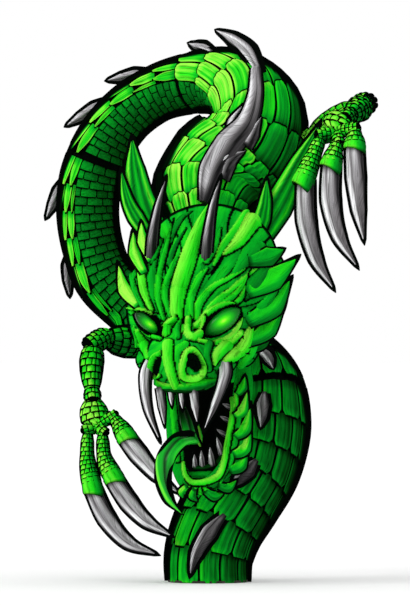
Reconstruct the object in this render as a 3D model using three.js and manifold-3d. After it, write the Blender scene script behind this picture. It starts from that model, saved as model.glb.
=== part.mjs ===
// A dragon show kite as a free-standing figure. A hollow, scale-covered body of five hinged
// segments rises from a flat foot, loops behind the head, arches over and comes down to the neck.
// Each segment is a skin on two hoops and a spine. The head has a hinged jaw, tongue and ears, and
// the two arms bend at shoulder, elbow, wrist and finger.
// Millimetres, +Z up, the face looks along -Y. The origin is the centre of the foot's flat face.
// Places below are measured in the body's own frame, which stands STANCE in front of the origin.
import * as THREE from "three";
import { mergeVertices } from "three/addons/utils/BufferGeometryUtils.js";
import Module from "manifold-3d";

const wasm = await Module();
wasm.setup();

// ---- Driving dimensions -------------------------------------------------------------------------

// The body's centreline from foot to nape: x, y, z, half width, then the way its back points.
const BODY_STATIONS = [
  [0, -104, 0, 104, 0, -1, 0],
  [2, -104, 68, 108, 0, -1, 0],
  [26, -92, 140, 112, 0, -1, 0],
  [68, -64, 212, 116, 0, -1, 0],
  [113, -28, 292, 119, 0, -1, 0],
  [136, 8, 385, 120, 0, -1, 0],
  [130, 46, 472, 114, 0.1, -0.8, 0.6],
  [92, 100, 538, 104, 0.2, -0.3, 0.9],
  [25, 154, 582, 98, 0.1, 0.3, 0.95],
  [-50, 188, 606, 94, 0, 0.8, 0.6],
  [-126, 203, 638, 88, -0.2, 1, -0.3],
  [-196, 205, 696, 80, -0.6, 0.5, -0.6],
  [-262, 205, 760, 80, -0.85, 0.45, -0.3],
  [-292, 203, 835, 79, -0.9, 0.4, -0.1],
  [-306, 200, 925, 81, -0.9, 0.4, 0],
  [-297, 195, 1018, 82, -0.9, 0.4, 0.15],
  [-262, 188, 1105, 79, -0.8, 0.4, 0.45],
  [-205, 180, 1178, 75, -0.6, 0.4, 0.7],
  [-128, 165, 1230, 74, -0.35, 0.35, 0.87],
  [-45, 135, 1254, 80, -0.1, 0.25, 0.95],
  [30, 82, 1258, 92, 0, 0, 1],
  [88, 28, 1228, 108, 0.3, -0.5, 0.8],
  [124, -8, 1165, 122, 0.15, -0.95, 0.3],
  [105, -32, 1092, 138, 0, -1, 0.1],
  [52, -48, 1030, 158, -0.1, -1, 0.1],
  [4, -90, 956, 150, -0.1, -0.85, 0.5],
  [-8, -188, 856, 92, -0.1, -0.72, 0.68],
];
const LAST_STATION = BODY_STATIONS.length - 1;
const BODY_FLATNESS = 0.92; // depth of the body's oval section over its width
const SEGMENTS = [
  { name: "tail", from: 0, to: 5.95 },
  { name: "chest", from: 5.95, to: 10.5 },
  { name: "loop", from: 10.5, to: 15.5 },
  { name: "arch", from: 15.5, to: 19 },
  { name: "neck", from: 19, to: LAST_STATION },
];
const STANCE = 104; // the whole figure moves back by this, which puts the foot's centre at the origin
const BODY_SIDES = 16;
const SKIN_STEPS = 9;
const SKIN_WALL = 3;
const PAST_END = 6; // a cut runs this far past the end that it opens
const JOINT_GAP = 20; // between two skins, which lets a hinge turn 6 degrees each way
const FIT_GAP = 0.4; // between pieces that touch
const FIN_CLEARANCE = 12; // between a fin and the next segment, which bends under it

const SPINE_RADIUS = 8;
const SPINE_STEPS = 6;
const HOOP_ROD_RADIUS = 3.5;
const HOOP_INSET = 19.2; // hoop rod's centre below the skin's outer face, under its padding
const SPOKE_RADIUS = 2.5;
const SPOKES = 3;
const PIN_RADIUS = 4;
const PIN_HOLE_RADIUS = 4.7;
const PIN_HEAD_RADIUS = 7;
const PIN_HEAD = 3; // thickness of a pin's head
const EYE_RADIUS = 11;
const EYE_REACH = 26; // pivot to the end of a hinge plate
const EYE_THICKNESS = 10;
const EAR_THICKNESS = 5;
const EAR_OFFSET = 8.5; // clevis ear's centre from the spine's centre plane
const FOOT_THICKNESS = 6;

const SKULL_WALL = 5;
const SKULL_BAR = { y: -300, z: 700, length: 330 }; // crossbar inside the head
const JAW_CLEARANCE = 6;
const JAW_CLOSING = 10; // degrees
const NAPE_CLEARANCE = 15; // between the neck's end and the skull's opening, so that the head can nod
const EAR_CLEARANCE = 9; // between an ear's root and the skull, so that it can flap

// ---- Solids and meshes --------------------------------------------------------------------------

const group = new THREE.Group();

// A closed geometry as a manifold-3d solid.
function solid(geometry) {
  const bare = new THREE.BufferGeometry();
  bare.setAttribute("position", geometry.getAttribute("position").clone());
  if (geometry.index) bare.setIndex(geometry.index.clone());
  const merged = mergeVertices(bare, 1e-3);
  const corners = merged.index.array;
  const faces = [];
  for (let i = 0; i < corners.length; i += 3) {
    const [a, b, c] = corners.subarray(i, i + 3);
    if (a !== b && b !== c && c !== a) faces.push(a, b, c);
  }
  return new wasm.Manifold(
    new wasm.Mesh({
      numProp: 3,
      vertProperties: merged.attributes.position.array,
      triVerts: new Uint32Array(faces),
    }),
  );
}

const union = (solids) => solids.reduce((sum, next) => sum.add(next));

// The largest piece of a solid that a cut may have split.
function largest(whole) {
  return whole.decompose().sort((a, b) => b.volume() - a.volume())[0];
}

// Adds a solid to the object as one named mesh.
function addPart(name, whole, material) {
  const mesh = whole.translate([0, STANCE, 0]).getMesh();
  const points = new Float32Array(mesh.numVert * 3);
  for (let i = 0; i < mesh.numVert; i++)
    points.set(mesh.vertProperties.subarray(i * mesh.numProp, i * mesh.numProp + 3), i * 3);
  const geometry = new THREE.BufferGeometry();
  geometry.setAttribute("position", new THREE.BufferAttribute(points, 3));
  geometry.setIndex(new THREE.BufferAttribute(mesh.triVerts, 1));
  const part = new THREE.Mesh(geometry, material);
  part.name = name;
  group.add(part);
}

const vec = (x, y, z) => new THREE.Vector3(x, y, z);

// A closed surface through rings of equal length. An end is a flat fan, or a point where the ring is one.
function lofted(rings) {
  const count = rings[0].length;
  const points = rings.flat().flatMap((p) => p.toArray());
  const faces = [];
  for (let r = 0; r < rings.length - 1; r++)
    for (let i = 0; i < count; i++) {
      const a = r * count + i;
      const b = r * count + ((i + 1) % count);
      faces.push(a, b, a + count, b, b + count, a + count);
    }
  for (const [ring, outward] of [[0, false], [rings.length - 1, true]]) {
    const centre = points.length / 3;
    const middle = rings[ring].reduce((sum, p) => sum.add(p), vec(0, 0, 0)).divideScalar(count);
    points.push(...middle.toArray());
    for (let i = 0; i < count; i++) {
      const a = ring * count + i;
      const b = ring * count + ((i + 1) % count);
      faces.push(...(outward ? [a, b, centre] : [b, a, centre]));
    }
  }
  const geometry = new THREE.BufferGeometry();
  geometry.setAttribute("position", new THREE.Float32BufferAttribute(points, 3));
  geometry.setIndex(faces);
  return solid(geometry);
}

// A solid swept through points, with [half width, half thickness] at each. The thickness lies along "up".
function swept(points, sizes, { up = vec(0, -1, 0), sides = 8, steps = 6, grow = 0 } = {}) {
  const curve = new THREE.CatmullRomCurve3(points.map((p) => vec(...p)), false, "centripetal");
  const rings = [];
  for (let s = 0; s <= steps; s++) {
    const t = s / steps;
    const at = t * (sizes.length - 1);
    const low = Math.min(Math.floor(at), sizes.length - 2);
    const [width, thickness] = [0, 1].map((k) =>
      Math.max(0.6, THREE.MathUtils.lerp(sizes[low][k], sizes[low + 1][k], at - low)) + grow,
    );
    const tangent = curve.getTangent(t);
    const side = tangent.clone().cross(up).normalize();
    const high = side.clone().cross(tangent).normalize();
    const ends = s === 0 ? -grow : s === steps ? grow : 0;
    const centre = curve.getPoint(t).addScaledVector(tangent, ends);
    rings.push(
      Array.from({ length: sides }, (_, i) => {
        const angle = (i / sides) * 2 * Math.PI;
        return centre
          .clone()
          .addScaledVector(high, Math.cos(angle) * thickness)
          .addScaledVector(side, Math.sin(angle) * width);
      }),
    );
  }
  return lofted(rings);
}

function ellipsoid([x, y, z], [rx, ry, rz], { grow = 0, tilt = 0, across = 16, down = 10 } = {}) {
  const geometry = new THREE.SphereGeometry(1, across, down);
  geometry.scale(rx + grow, ry + grow, rz + grow).rotateY(tilt).translate(x, y, z);
  return solid(geometry);
}

function box([x, y, z], [sx, sy, sz]) {
  return solid(new THREE.BoxGeometry(sx, sy, sz).translate(x, y, z));
}

// A cylinder along X.
function crossCylinder([x, y, z], radius, length, sides = 12) {
  const along = new THREE.CylinderGeometry(radius, radius, length, sides).rotateZ(Math.PI / 2);
  return solid(along.translate(x, y, z));
}

// ---- Materials ----------------------------------------------------------------------------------

const finish = (color, roughness, metalness = 0) =>
  new THREE.MeshStandardMaterial({ color, roughness, metalness });
const SCALE_GREEN = finish(0x12a82e, 0.5);
const HEAD_GREEN = finish(0x19c233, 0.45);
const LIMB_GREEN = finish(0x2bc63a, 0.5);
const EYE_GREEN = finish(0x49ff12, 0.15);
const TONGUE_GREEN = finish(0x20b52c, 0.4);
const HORN_GREY = finish(0x8c8a88, 0.35);
const CARBON = finish(0x1c1d1f, 0.4);
const STEEL = finish(0xb9bcc0, 0.3, 1);
const PLYWOOD = finish(0x1a1a1a, 0.7);

// ---- The body's path ----------------------------------------------------------------------------

const bodyCurve = new THREE.CatmullRomCurve3(
  BODY_STATIONS.map(([x, y, z]) => vec(x, y, z)),
  false,
  "catmullrom",
  0.5,
);

// Place, axes and half sizes of the body's section at station t, counted in stations from the foot.
function section(t) {
  const last = BODY_STATIONS.length - 1;
  const low = Math.min(Math.floor(t), last - 1);
  const [a, b] = [BODY_STATIONS[low], BODY_STATIONS[low + 1]];
  const mix = (k) => THREE.MathUtils.lerp(a[k], b[k], t - low);
  const tangent = t === 0 ? vec(0, 0, 1) : bodyCurve.getTangent(t / last);
  const side = vec(mix(4), mix(5), mix(6)).cross(tangent).normalize();
  const back = tangent.clone().cross(side).normalize();
  const width = mix(3);
  return { centre: bodyCurve.getPoint(t / last), tangent, side, back, width, depth: width * BODY_FLATNESS };
}

// Stations per millimetre near t, to turn a distance into a change of t.
function stationsPerMm(t) {
  const [before, after] = [t - 0.01, t + 0.01].map((at) => bodyCurve.getPoint(at / LAST_STATION));
  return 0.02 / before.distanceTo(after);
}

function ring(t, grow) {
  const s = section(t);
  return Array.from({ length: BODY_SIDES }, (_, i) => {
    const angle = (i / BODY_SIDES) * 2 * Math.PI;
    return s.centre
      .clone()
      .addScaledVector(s.back, Math.cos(angle) * (s.depth + grow))
      .addScaledVector(s.side, -Math.sin(angle) * (s.width + grow));
  });
}

function bodyRings(from, to, grow) {
  return Array.from({ length: SKIN_STEPS + 1 }, (_, i) => ring(from + ((to - from) * i) / SKIN_STEPS, grow));
}

const bodySolid = (from, to, grow) => lofted(bodyRings(from, to, grow));

// A ring moved along the body's direction at station t.
function moved(points, t, distance) {
  const { tangent } = section(t);
  return points.map((p) => p.clone().addScaledVector(tangent, distance));
}

// A segment's skin: its outer form less an inner one, which runs on past both ends to leave them open.
function bodyTube(from, to) {
  const inner = bodyRings(from, to, -SKIN_WALL);
  const hollow = [moved(inner[0], from, -PAST_END), ...inner, moved(inner.at(-1), to, PAST_END)];
  return bodySolid(from, to, 0).subtract(lofted(hollow));
}

// Where a segment's skin starts and ends: half a gap short of each hinge.
function skinSpan({ from, to }) {
  const start = from === 0 ? 0 : from + (JOINT_GAP / 2) * stationsPerMm(from);
  const end = to === LAST_STATION ? to : to - (JOINT_GAP / 2) * stationsPerMm(to);
  return [start, end];
}

// A matrix that puts local X, Y, Z on a section's side, back and tangent, moved along the tangent.
function placement(t, along = 0) {
  const s = section(t);
  const centre = s.centre.clone().addScaledVector(s.tangent, along);
  return new THREE.Matrix4().makeBasis(s.side, s.back, s.tangent).setPosition(centre);
}

const placed = (geometry, matrix) => solid(geometry.applyMatrix4(matrix));

// ---- Hinges of the spine ------------------------------------------------------------------------

const NAPE_REACH = 20; // the head's hinge, past the end of the neck
const hingePlace = (t) => placement(t, t === LAST_STATION ? NAPE_REACH : 0);

// Points round an arc of a circle, the first and the last included.
const arc = (radius, from, to, count) =>
  Array.from({ length: count + 1 }, (_, i) => {
    const angle = from + ((to - from) * i) / count;
    return new THREE.Vector2(Math.cos(angle) * radius, Math.sin(angle) * radius);
  });
const circle = (radius, count) => arc(radius, 0, 2 * Math.PI, count).slice(0, -1);

// A flat outline with one round hole at its origin, extruded along Z.
function drilled(outline, holeRadius, depth) {
  const clockwise = THREE.ShapeUtils.isClockWise(outline);
  const shape = new THREE.Shape(clockwise ? outline.reverse() : outline);
  shape.holes.push(new THREE.Path(circle(holeRadius, 12).reverse()));
  return new THREE.ExtrudeGeometry(shape, { depth, bevelEnabled: false });
}

// A plate with one round end and the pin's hole, reaching from the pivot along the tangent.
function hingePlate(direction, offset, thickness) {
  const end = direction * EYE_REACH;
  const outline = [
    new THREE.Vector2(end, -EYE_RADIUS),
    new THREE.Vector2(end, EYE_RADIUS),
    ...arc(EYE_RADIUS, Math.PI / 2, Math.PI / 2 + direction * Math.PI, 6),
  ];
  const plate = drilled(outline, PIN_HOLE_RADIUS, thickness);
  // The outline's x becomes the tangent and the extrusion becomes the side.
  const turn = new THREE.Matrix4().makeBasis(vec(0, 0, 1), vec(0, 1, 0), vec(-1, 0, 0));
  return plate.applyMatrix4(turn).translate(offset + thickness / 2, 0, 0);
}

// The two ears at a segment's far end, on a block that the spine runs into.
function clevis(t) {
  const at = hingePlace(t);
  const block = new THREE.BoxGeometry(2 * EAR_OFFSET + EAR_THICKNESS, 2 * EYE_RADIUS, 8);
  return union([
    placed(hingePlate(-1, EAR_OFFSET, EAR_THICKNESS), at),
    placed(hingePlate(-1, -EAR_OFFSET, EAR_THICKNESS), at),
    placed(block.translate(0, 0, -EYE_REACH + 3), at),
  ]);
}

const eye = (t) => placed(hingePlate(1, 0, EYE_THICKNESS), hingePlace(t));

// A headed pin along the hinge's axis.
function hingePin(t) {
  const reach = EAR_OFFSET + EAR_THICKNESS / 2 + 2;
  const under = reach - PIN_HEAD / 2;
  const over = reach + PIN_HEAD / 2;
  const profile = [
    [0, -reach],
    [PIN_RADIUS, -reach],
    [PIN_RADIUS, under],
    [PIN_HEAD_RADIUS, under],
    [PIN_HEAD_RADIUS, over],
    [0, over],
  ].map(([r, y]) => new THREE.Vector2(r, y));
  const pin = new THREE.LatheGeometry(profile, 12).rotateZ(-Math.PI / 2);
  return placed(pin, hingePlace(t));
}

// ---- Body segments ------------------------------------------------------------------------------

function hoop(t) {
  const s = section(t);
  const radius = s.width - HOOP_INSET;
  const flatten = (s.depth - HOOP_INSET) / radius;
  const parts = [new THREE.TorusGeometry(radius, HOOP_ROD_RADIUS, 4, BODY_SIDES).scale(1, flatten, 1)];
  for (let i = 0; i < SPOKES; i++) {
    const angle = ((i + 0.25) / SPOKES) * 2 * Math.PI;
    const reach = Math.hypot(Math.cos(angle) * radius, Math.sin(angle) * radius * flatten);
    const spoke = new THREE.CylinderGeometry(SPOKE_RADIUS, SPOKE_RADIUS, reach, 4).translate(0, reach / 2, 0);
    parts.push(spoke.rotateZ(Math.atan2(Math.sin(angle) * flatten, Math.cos(angle)) - Math.PI / 2));
  }
  return union(parts.map((g) => placed(g, placement(t))));
}

function spine(from, to) {
  const footTop = (FOOT_THICKNESS + FIT_GAP) * stationsPerMm(0.1);
  const start = from === 0 ? footTop : from + 16 * stationsPerMm(from);
  const end = to === LAST_STATION ? to - 3 * stationsPerMm(LAST_STATION - 0.1) : to - 20 * stationsPerMm(to);
  const rings = Array.from({ length: SPINE_STEPS + 1 }, (_, i) => {
    const s = section(start + ((end - start) * i) / SPINE_STEPS);
    return circle(SPINE_RADIUS, 6).map((p) =>
      s.centre.clone().addScaledVector(s.back, p.x).addScaledVector(s.side, -p.y),
    );
  });
  return lofted(rings);
}

// The tow point: a bar from the chest's spine out through the back of the skin, with an eye.
const TOW_STATION = 8.6;
const TOW_BAR_RADIUS = 5;
const TOW_EYE = vec(-22, 304, 600);
const TOW_HOLE_RADIUS = 7;
const TOW_SLOT_RADIUS = 9; // of the hole in the skin that the bar passes through
const TOW_SLOT_START = 230;
const TOW_RING = { radius: 19, rod: 2.5, drop: 4 }; // it hangs on the lower edge of the eye's hole

function towBar() {
  const start = section(TOW_STATION).centre;
  const end = [TOW_EYE.x, TOW_EYE.y - 12, TOW_EYE.z];
  const size = [TOW_BAR_RADIUS, TOW_BAR_RADIUS];
  const bar = swept([start.toArray(), end], [size, size], { up: vec(0, 0, 1), steps: 1 });
  const eyePlate = drilled(circle(15, 12), TOW_HOLE_RADIUS, 5);
  eyePlate.rotateY(Math.PI / 2).translate(TOW_EYE.x - 2.5, TOW_EYE.y, TOW_EYE.z);
  return bar.add(solid(eyePlate));
}

const towRing = () =>
  solid(
    new THREE.TorusGeometry(TOW_RING.radius, TOW_RING.rod, 6, 16)
      .rotateX(Math.PI / 2)
      .translate(TOW_EYE.x, TOW_EYE.y, TOW_EYE.z - TOW_RING.drop - TOW_RING.radius),
  );

for (const segment of SEGMENTS) {
  const { name, from, to } = segment;
  const [start, end] = skinSpan(segment);
  let skin = bodyTube(start, end);
  const hoopInset = (end - start) * 0.1;
  const frame = [spine(from, to), hoop(start + hoopInset), hoop(end - hoopInset), clevis(to)];
  if (from > 0) frame.push(eye(from));
  if (name === "chest") {
    frame.push(towBar());
    const reach = TOW_EYE.y - TOW_SLOT_START;
    const slot = new THREE.CylinderGeometry(TOW_SLOT_RADIUS, TOW_SLOT_RADIUS, reach, 10);
    slot.translate(TOW_EYE.x, TOW_SLOT_START + reach / 2, TOW_EYE.z);
    skin = skin.subtract(solid(slot));
  }
  addPart(`${name}_skin`, skin, SCALE_GREEN);
  addPart(`${name}_frame`, union(frame).simplify(0.1), CARBON);
  addPart(`${name}_hinge_pin`, hingePin(to), STEEL);
}
addPart("tow_ring", towRing(), STEEL);

const footOutline = new THREE.Shape(
  ring(0, -SKIN_WALL - 1).map((p) => new THREE.Vector2(p.x, p.y)),
);
addPart(
  "foot_plate",
  solid(new THREE.ExtrudeGeometry(footOutline, { depth: FOOT_THICKNESS, bevelEnabled: false })),
  PLYWOOD,
);

// ---- Fins along the back ------------------------------------------------------------------------

// A leaf that lies along the back from station "from" towards the tail and rises to its tip.
// It is set "aside" of the middle, and leans further by "lean" at the tip.
function fin(from, length, height, width, lean = 0, aside = 0) {
  const reach = length * stationsPerMm(from);
  const place = (along, lift) => {
    const s = section(from - reach * along);
    const shift = aside + lean * along;
    const drop = s.depth * (1 - Math.sqrt(Math.max(0, 1 - (shift / s.width) ** 2)));
    return s.centre.clone().addScaledVector(s.back, s.depth - drop + lift).addScaledVector(s.side, shift);
  };
  const points = [place(0, -4), place(0.35, height * 0.15), place(0.7, height * 0.5), place(1, height)];
  const sizes = [[width * 0.35, 6], [width, height * 0.3], [width * 0.7, height * 0.28], [0, 0]];
  const up = section(from - reach / 2).back;
  return swept(points.map((p) => p.toArray()), sizes, { up, steps: 6, sides: 8 });
}

const FINS = [
  ["tail_fin_1", 2.1, 130, 34, 24, 45],
  ["tail_fin_2", 3.75, 108, 32, 22, 24],
  ["tail_fin_3", 5.55, 107, 32, 20, 8],
  ["chest_fin", 6.6, 66, 32, 18, -18],
  ["loop_fin_1", 13.05, 78, 40, 15, 0],
  ["loop_fin_2", 14.85, 88, 44, 15, 0],
  ["arch_fin_1", 16.9, 96, 46, 16, 0],
  ["arch_fin_2", 18.0, 84, 40, 16, 0],
  ["neck_fin", 19.72, 66, 32, 16, 0],
  ["crown_fin", 21.35, 135, 46, 24, 0],
];
// The neck's ridge is one piece: three leaves, each rooted under the tip of the one before.
const NECK_RIDGE = [
  [25.45, 190, 26, 36, 2, -16],
  [23.7, 135, 26, 32, 22, -24],
  [22.45, 105, 28, 28, 14, -8],
];

function addFin(name, from, leaf) {
  let trimmed = leaf;
  for (const segment of SEGMENTS) {
    const own = from > segment.from && from <= segment.to;
    trimmed = trimmed.subtract(bodySolid(...skinSpan(segment), own ? FIT_GAP : FIN_CLEARANCE));
  }
  addPart(name, largest(trimmed), HORN_GREY);
}
for (const [name, from, ...size] of FINS) addFin(name, from, fin(from, ...size));
const ridgeKeel = fin(25.2, 345, 6, 9, 14, -16);
addFin("neck_ridge", NECK_RIDGE[0][0], union([ridgeKeel, ...NECK_RIDGE.map((leaf) => fin(...leaf))]));

// ---- Head ---------------------------------------------------------------------------------------

const SKULL_LOBES = {
  dome: [[5, -275, 800], [170, 150, 145]],
  right_cheek: [[110, -270, 735], [92, 112, 128]],
  right_jowl: [[84, -300, 612], [50, 80, 76]],
  left_cheek: [[-132, -285, 690], [72, 105, 128]],
  brow: [[-30, -335, 665], [150, 95, 92]],
  snout: [[-72, -405, 565], [82, 98, 78]],
  lip: [[-52, -365, 560], [128, 98, 66]],
};
const JAW_AXIS = { y: -200, z: 600 };
const JAW_BOSS_X = [-92, 90];
const JAW_LUG_X = [-112, 110];
const EYES = [
  { name: "left_eye", at: [-145, -372, 648], size: [38, 26, 21], tilt: 0.62 },
  { name: "right_eye", at: [33, -398, 652], size: [50, 28, 29], tilt: -0.5 },
];

const lobes = (grow, across = 12, down = 8) =>
  union(Object.values(SKULL_LOBES).map(([at, size]) => ellipsoid(at, size, { grow, across, down })));
const skullOuter = lobes(FIT_GAP);

// The space that the neck's end needs in the back of the head, as the head nods.
function napeClearance() {
  const beyond = moved(ring(LAST_STATION, NAPE_CLEARANCE), LAST_STATION, NAPE_CLEARANCE);
  const along = [2, 1.5, 1, 0.5, 0].map((back) => ring(LAST_STATION - back, NAPE_CLEARANCE));
  return lofted([...along, beyond]);
}

for (const { name, at, size, tilt } of EYES)
  addPart(name, ellipsoid(at, size, { tilt, across: 14, down: 8 }), EYE_GREEN);

// A piece that stands on the skull, trimmed to its outer face.
const onSkull = (whole, gap = FIT_GAP) =>
  largest(whole.subtract(gap === FIT_GAP ? skullOuter : lobes(gap)));

const HORN_SIZES = [[17, 17], [15, 15], [9, 9], [0, 0]];
const HORNS = {
  left_horn: [[-140, -335, 800], [-136, -385, 860], [-122, -405, 935], [-102, -395, 1010]],
  right_horn: [[-6, -405, 798], [0, -455, 860], [12, -470, 935], [32, -458, 1010]],
};
for (const [name, points] of Object.entries(HORNS))
  addPart(name, onSkull(swept(points, HORN_SIZES, { up: vec(1, 0, 0), steps: 8 })), HORN_GREY);

const fang = (points, size) =>
  onSkull(swept(points, [[size, size], [size, size], [size * 0.6, size * 0.6], [0, 0]], { steps: 8 }));
const FANGS = {
  left_fang: {
    width: 17,
    points: [[-132, -420, 572], [-153, -448, 520], [-147, -477, 440], [-116, -490, 356]],
  },
  right_fang: {
    width: 18,
    points: [[32, -400, 575], [42, -440, 525], [18, -468, 452], [-12, -470, 382]],
  },
};
for (const [name, { points, width }] of Object.entries(FANGS)) addPart(name, fang(points, width), HORN_GREY);

// Ears are leaves on sewn hinges, clear of the skull.
const EARS = {
  right_ear: {
    width: 38,
    points: [[110, -225, 830], [172, -195, 935], [230, -152, 1050], [282, -110, 1152]],
  },
  left_ear: {
    width: 40,
    points: [[-105, -235, 830], [-160, -222, 930], [-182, -190, 1030], [-190, -160, 1115]],
  },
};
for (const [name, { points, width }] of Object.entries(EARS)) {
  const leaf = swept(points, [[width * 0.7, 13], [width, 11], [width * 0.6, 8], [0, 0]], { steps: 8 });
  addPart(name, onSkull(leaf, EAR_CLEARANCE), HEAD_GREEN);
}

// A bar of gum with a row of pointed teeth on it.
function toothRow(gumPoints, teeth) {
  const gum = swept(gumPoints, gumPoints.map(() => [9, 9]), { steps: 6, sides: 6 });
  const cones = teeth.map(([root, tip, size]) =>
    swept([root, tip], [[size, size], [0, 0]], { up: vec(0, -1, 0.3), steps: 1, sides: 6 }),
  );
  return union([gum, ...cones]);
}
const upperTeeth = toothRow(
  [[-122, -415, 492], [-95, -440, 484], [-55, -446, 482], [-10, -432, 488]],
  [
    [[-118, -425, 490], [-106, -440, 392], 13],
    [[-92, -438, 484], [-88, -446, 440], 8],
    [[-66, -442, 482], [-62, -448, 432], 8],
    [[-36, -438, 484], [-26, -444, 400], 14],
  ],
);
addPart("upper_teeth", onSkull(upperTeeth).simplify(0.1), HORN_GREY);

// The jaw is a bow from one cheek round the chin to the other, with a floor, and turns on a pin.
const JAW_BOW = [
  [JAW_BOSS_X[1], JAW_AXIS.y, JAW_AXIS.z],
  [88, -248, 490],
  [76, -290, 395],
  [50, -332, 300],
  [-4, -362, 250],
  [-50, -364, 252],
  [-76, -336, 314],
  [-88, -276, 420],
  [JAW_BOSS_X[0], JAW_AXIS.y, JAW_AXIS.z],
];
const JAW_BOW_SIZES = [11, 26, 26, 24, 20, 20, 20, 18, 11].map((width) => [width, 12]);
const jawSolid = (grow, steps = 16, sides = 8) =>
  union([
    swept(JAW_BOW, JAW_BOW_SIZES, { up: vec(0, -0.55, -0.3), steps, sides, grow }),
    ellipsoid([-2, -308, 274], [64, 46, 15], { grow, across: 12, down: 6 }),
    ...JAW_BOSS_X.map((x) => crossCylinder([x, JAW_AXIS.y, JAW_AXIS.z], 15 + grow, 24 + 2 * grow, sides)),
  ]);
const jaw = jawSolid(0).subtract(crossCylinder([0, JAW_AXIS.y, JAW_AXIS.z], PIN_HOLE_RADIUS, 400, 12));
addPart("lower_jaw", jaw, HEAD_GREEN);

// The room that the jaw sweeps as it closes, seen from the side a turn about its pin.
function jawSweep() {
  const grown = jawSolid(JAW_CLEARANCE, 10, 6);
  const turned = [0, 1].map((part) =>
    grown
      .translate([0, -JAW_AXIS.y, -JAW_AXIS.z])
      .rotate([-JAW_CLOSING * part, 0, 0])
      .translate([0, JAW_AXIS.y, JAW_AXIS.z]),
  );
  return union(turned);
}

function skull() {
  const throat = ellipsoid([0, -250, 530], [104, 120, 110]);
  const shell = lobes(0).subtract(lobes(-SKULL_WALL)).subtract(napeClearance()).subtract(throat);
  const sockets = union(
    EYES.map(({ at, size, tilt }) => ellipsoid(at, size, { grow: FIT_GAP, tilt, across: 14, down: 8 })),
  );
  // Side lugs for the jaw's pin, tied to a crossbar that ends in the eye of the neck's hinge.
  const rod = (...ends) => swept(ends, ends.map(() => [7, 7]), { up: vec(0, 0.3, 1), steps: 1, sides: 6 });
  const lugs = JAW_LUG_X.map((x) => box([x, JAW_AXIS.y - 4, JAW_AXIS.z + 30], [8, 34, 94]));
  const ties = JAW_LUG_X.map((x) => rod([x, JAW_AXIS.y - 8, 668], [x * 0.9, SKULL_BAR.y - 6, SKULL_BAR.z]));
  const hinge = hingePlace(LAST_STATION);
  const barStart = vec(0, 0, EYE_REACH - 5).applyMatrix4(hinge).toArray();
  const bar = rod(barStart, [barStart[0], SKULL_BAR.y, SKULL_BAR.z]);
  const crossbar = crossCylinder([-14, SKULL_BAR.y, SKULL_BAR.z], 7, SKULL_BAR.length, 8);
  const bores = crossCylinder([0, JAW_AXIS.y, JAW_AXIS.z], PIN_RADIUS + FIT_GAP, 400);
  const cover = largest(shell.subtract(sockets)).subtract(jawSweep());
  return union([cover, crossbar, ...ties, ...lugs, bar, eye(LAST_STATION)]).subtract(bores).simplify(0.1);
}
addPart("skull", largest(skull()), HEAD_GREEN);

const jawPinLength = JAW_LUG_X[1] - JAW_LUG_X[0] + 22;
const jawPinCentre = (JAW_LUG_X[0] + JAW_LUG_X[1]) / 2;
addPart("jaw_pin", crossCylinder([jawPinCentre, JAW_AXIS.y, JAW_AXIS.z], PIN_RADIUS, jawPinLength), STEEL);

const lowerTeeth = toothRow(
  [[62, -262, 442], [54, -288, 392], [44, -310, 345], [26, -330, 306], [-6, -344, 292], [-36, -346, 292]],
  [
    [[60, -270, 436], [32, -278, 450], 9],
    [[54, -284, 404], [26, -292, 420], 9],
    [[46, -300, 368], [18, -308, 388], 9],
    [[34, -320, 322], [20, -326, 372], 10],
    [[10, -340, 296], [4, -342, 348], 10],
    [[-14, -344, 292], [-17, -348, 340], 9],
    [[-32, -346, 292], [-34, -350, 330], 8],
  ],
);
addPart("lower_teeth", largest(lowerTeeth.subtract(jawSolid(FIT_GAP))).simplify(0.1), HORN_GREY);

addPart(
  "tongue",
  swept(
    [[-70, -222, 452], [-52, -265, 402], [-42, -310, 362], [-50, -354, 362], [-76, -392, 354],
      [-104, -416, 316], [-110, -426, 264], [-96, -428, 216], [-64, -420, 180]],
    [[15, 9], [19, 10], [20, 10], [21, 10], [22, 10], [22, 10], [20, 9], [14, 8], [0, 0]],
    { up: vec(0.3, -0.2, 1), steps: 16, sides: 8 },
  ),
  TONGUE_GREEN,
);

// ---- Arms ---------------------------------------------------------------------------------------

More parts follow.
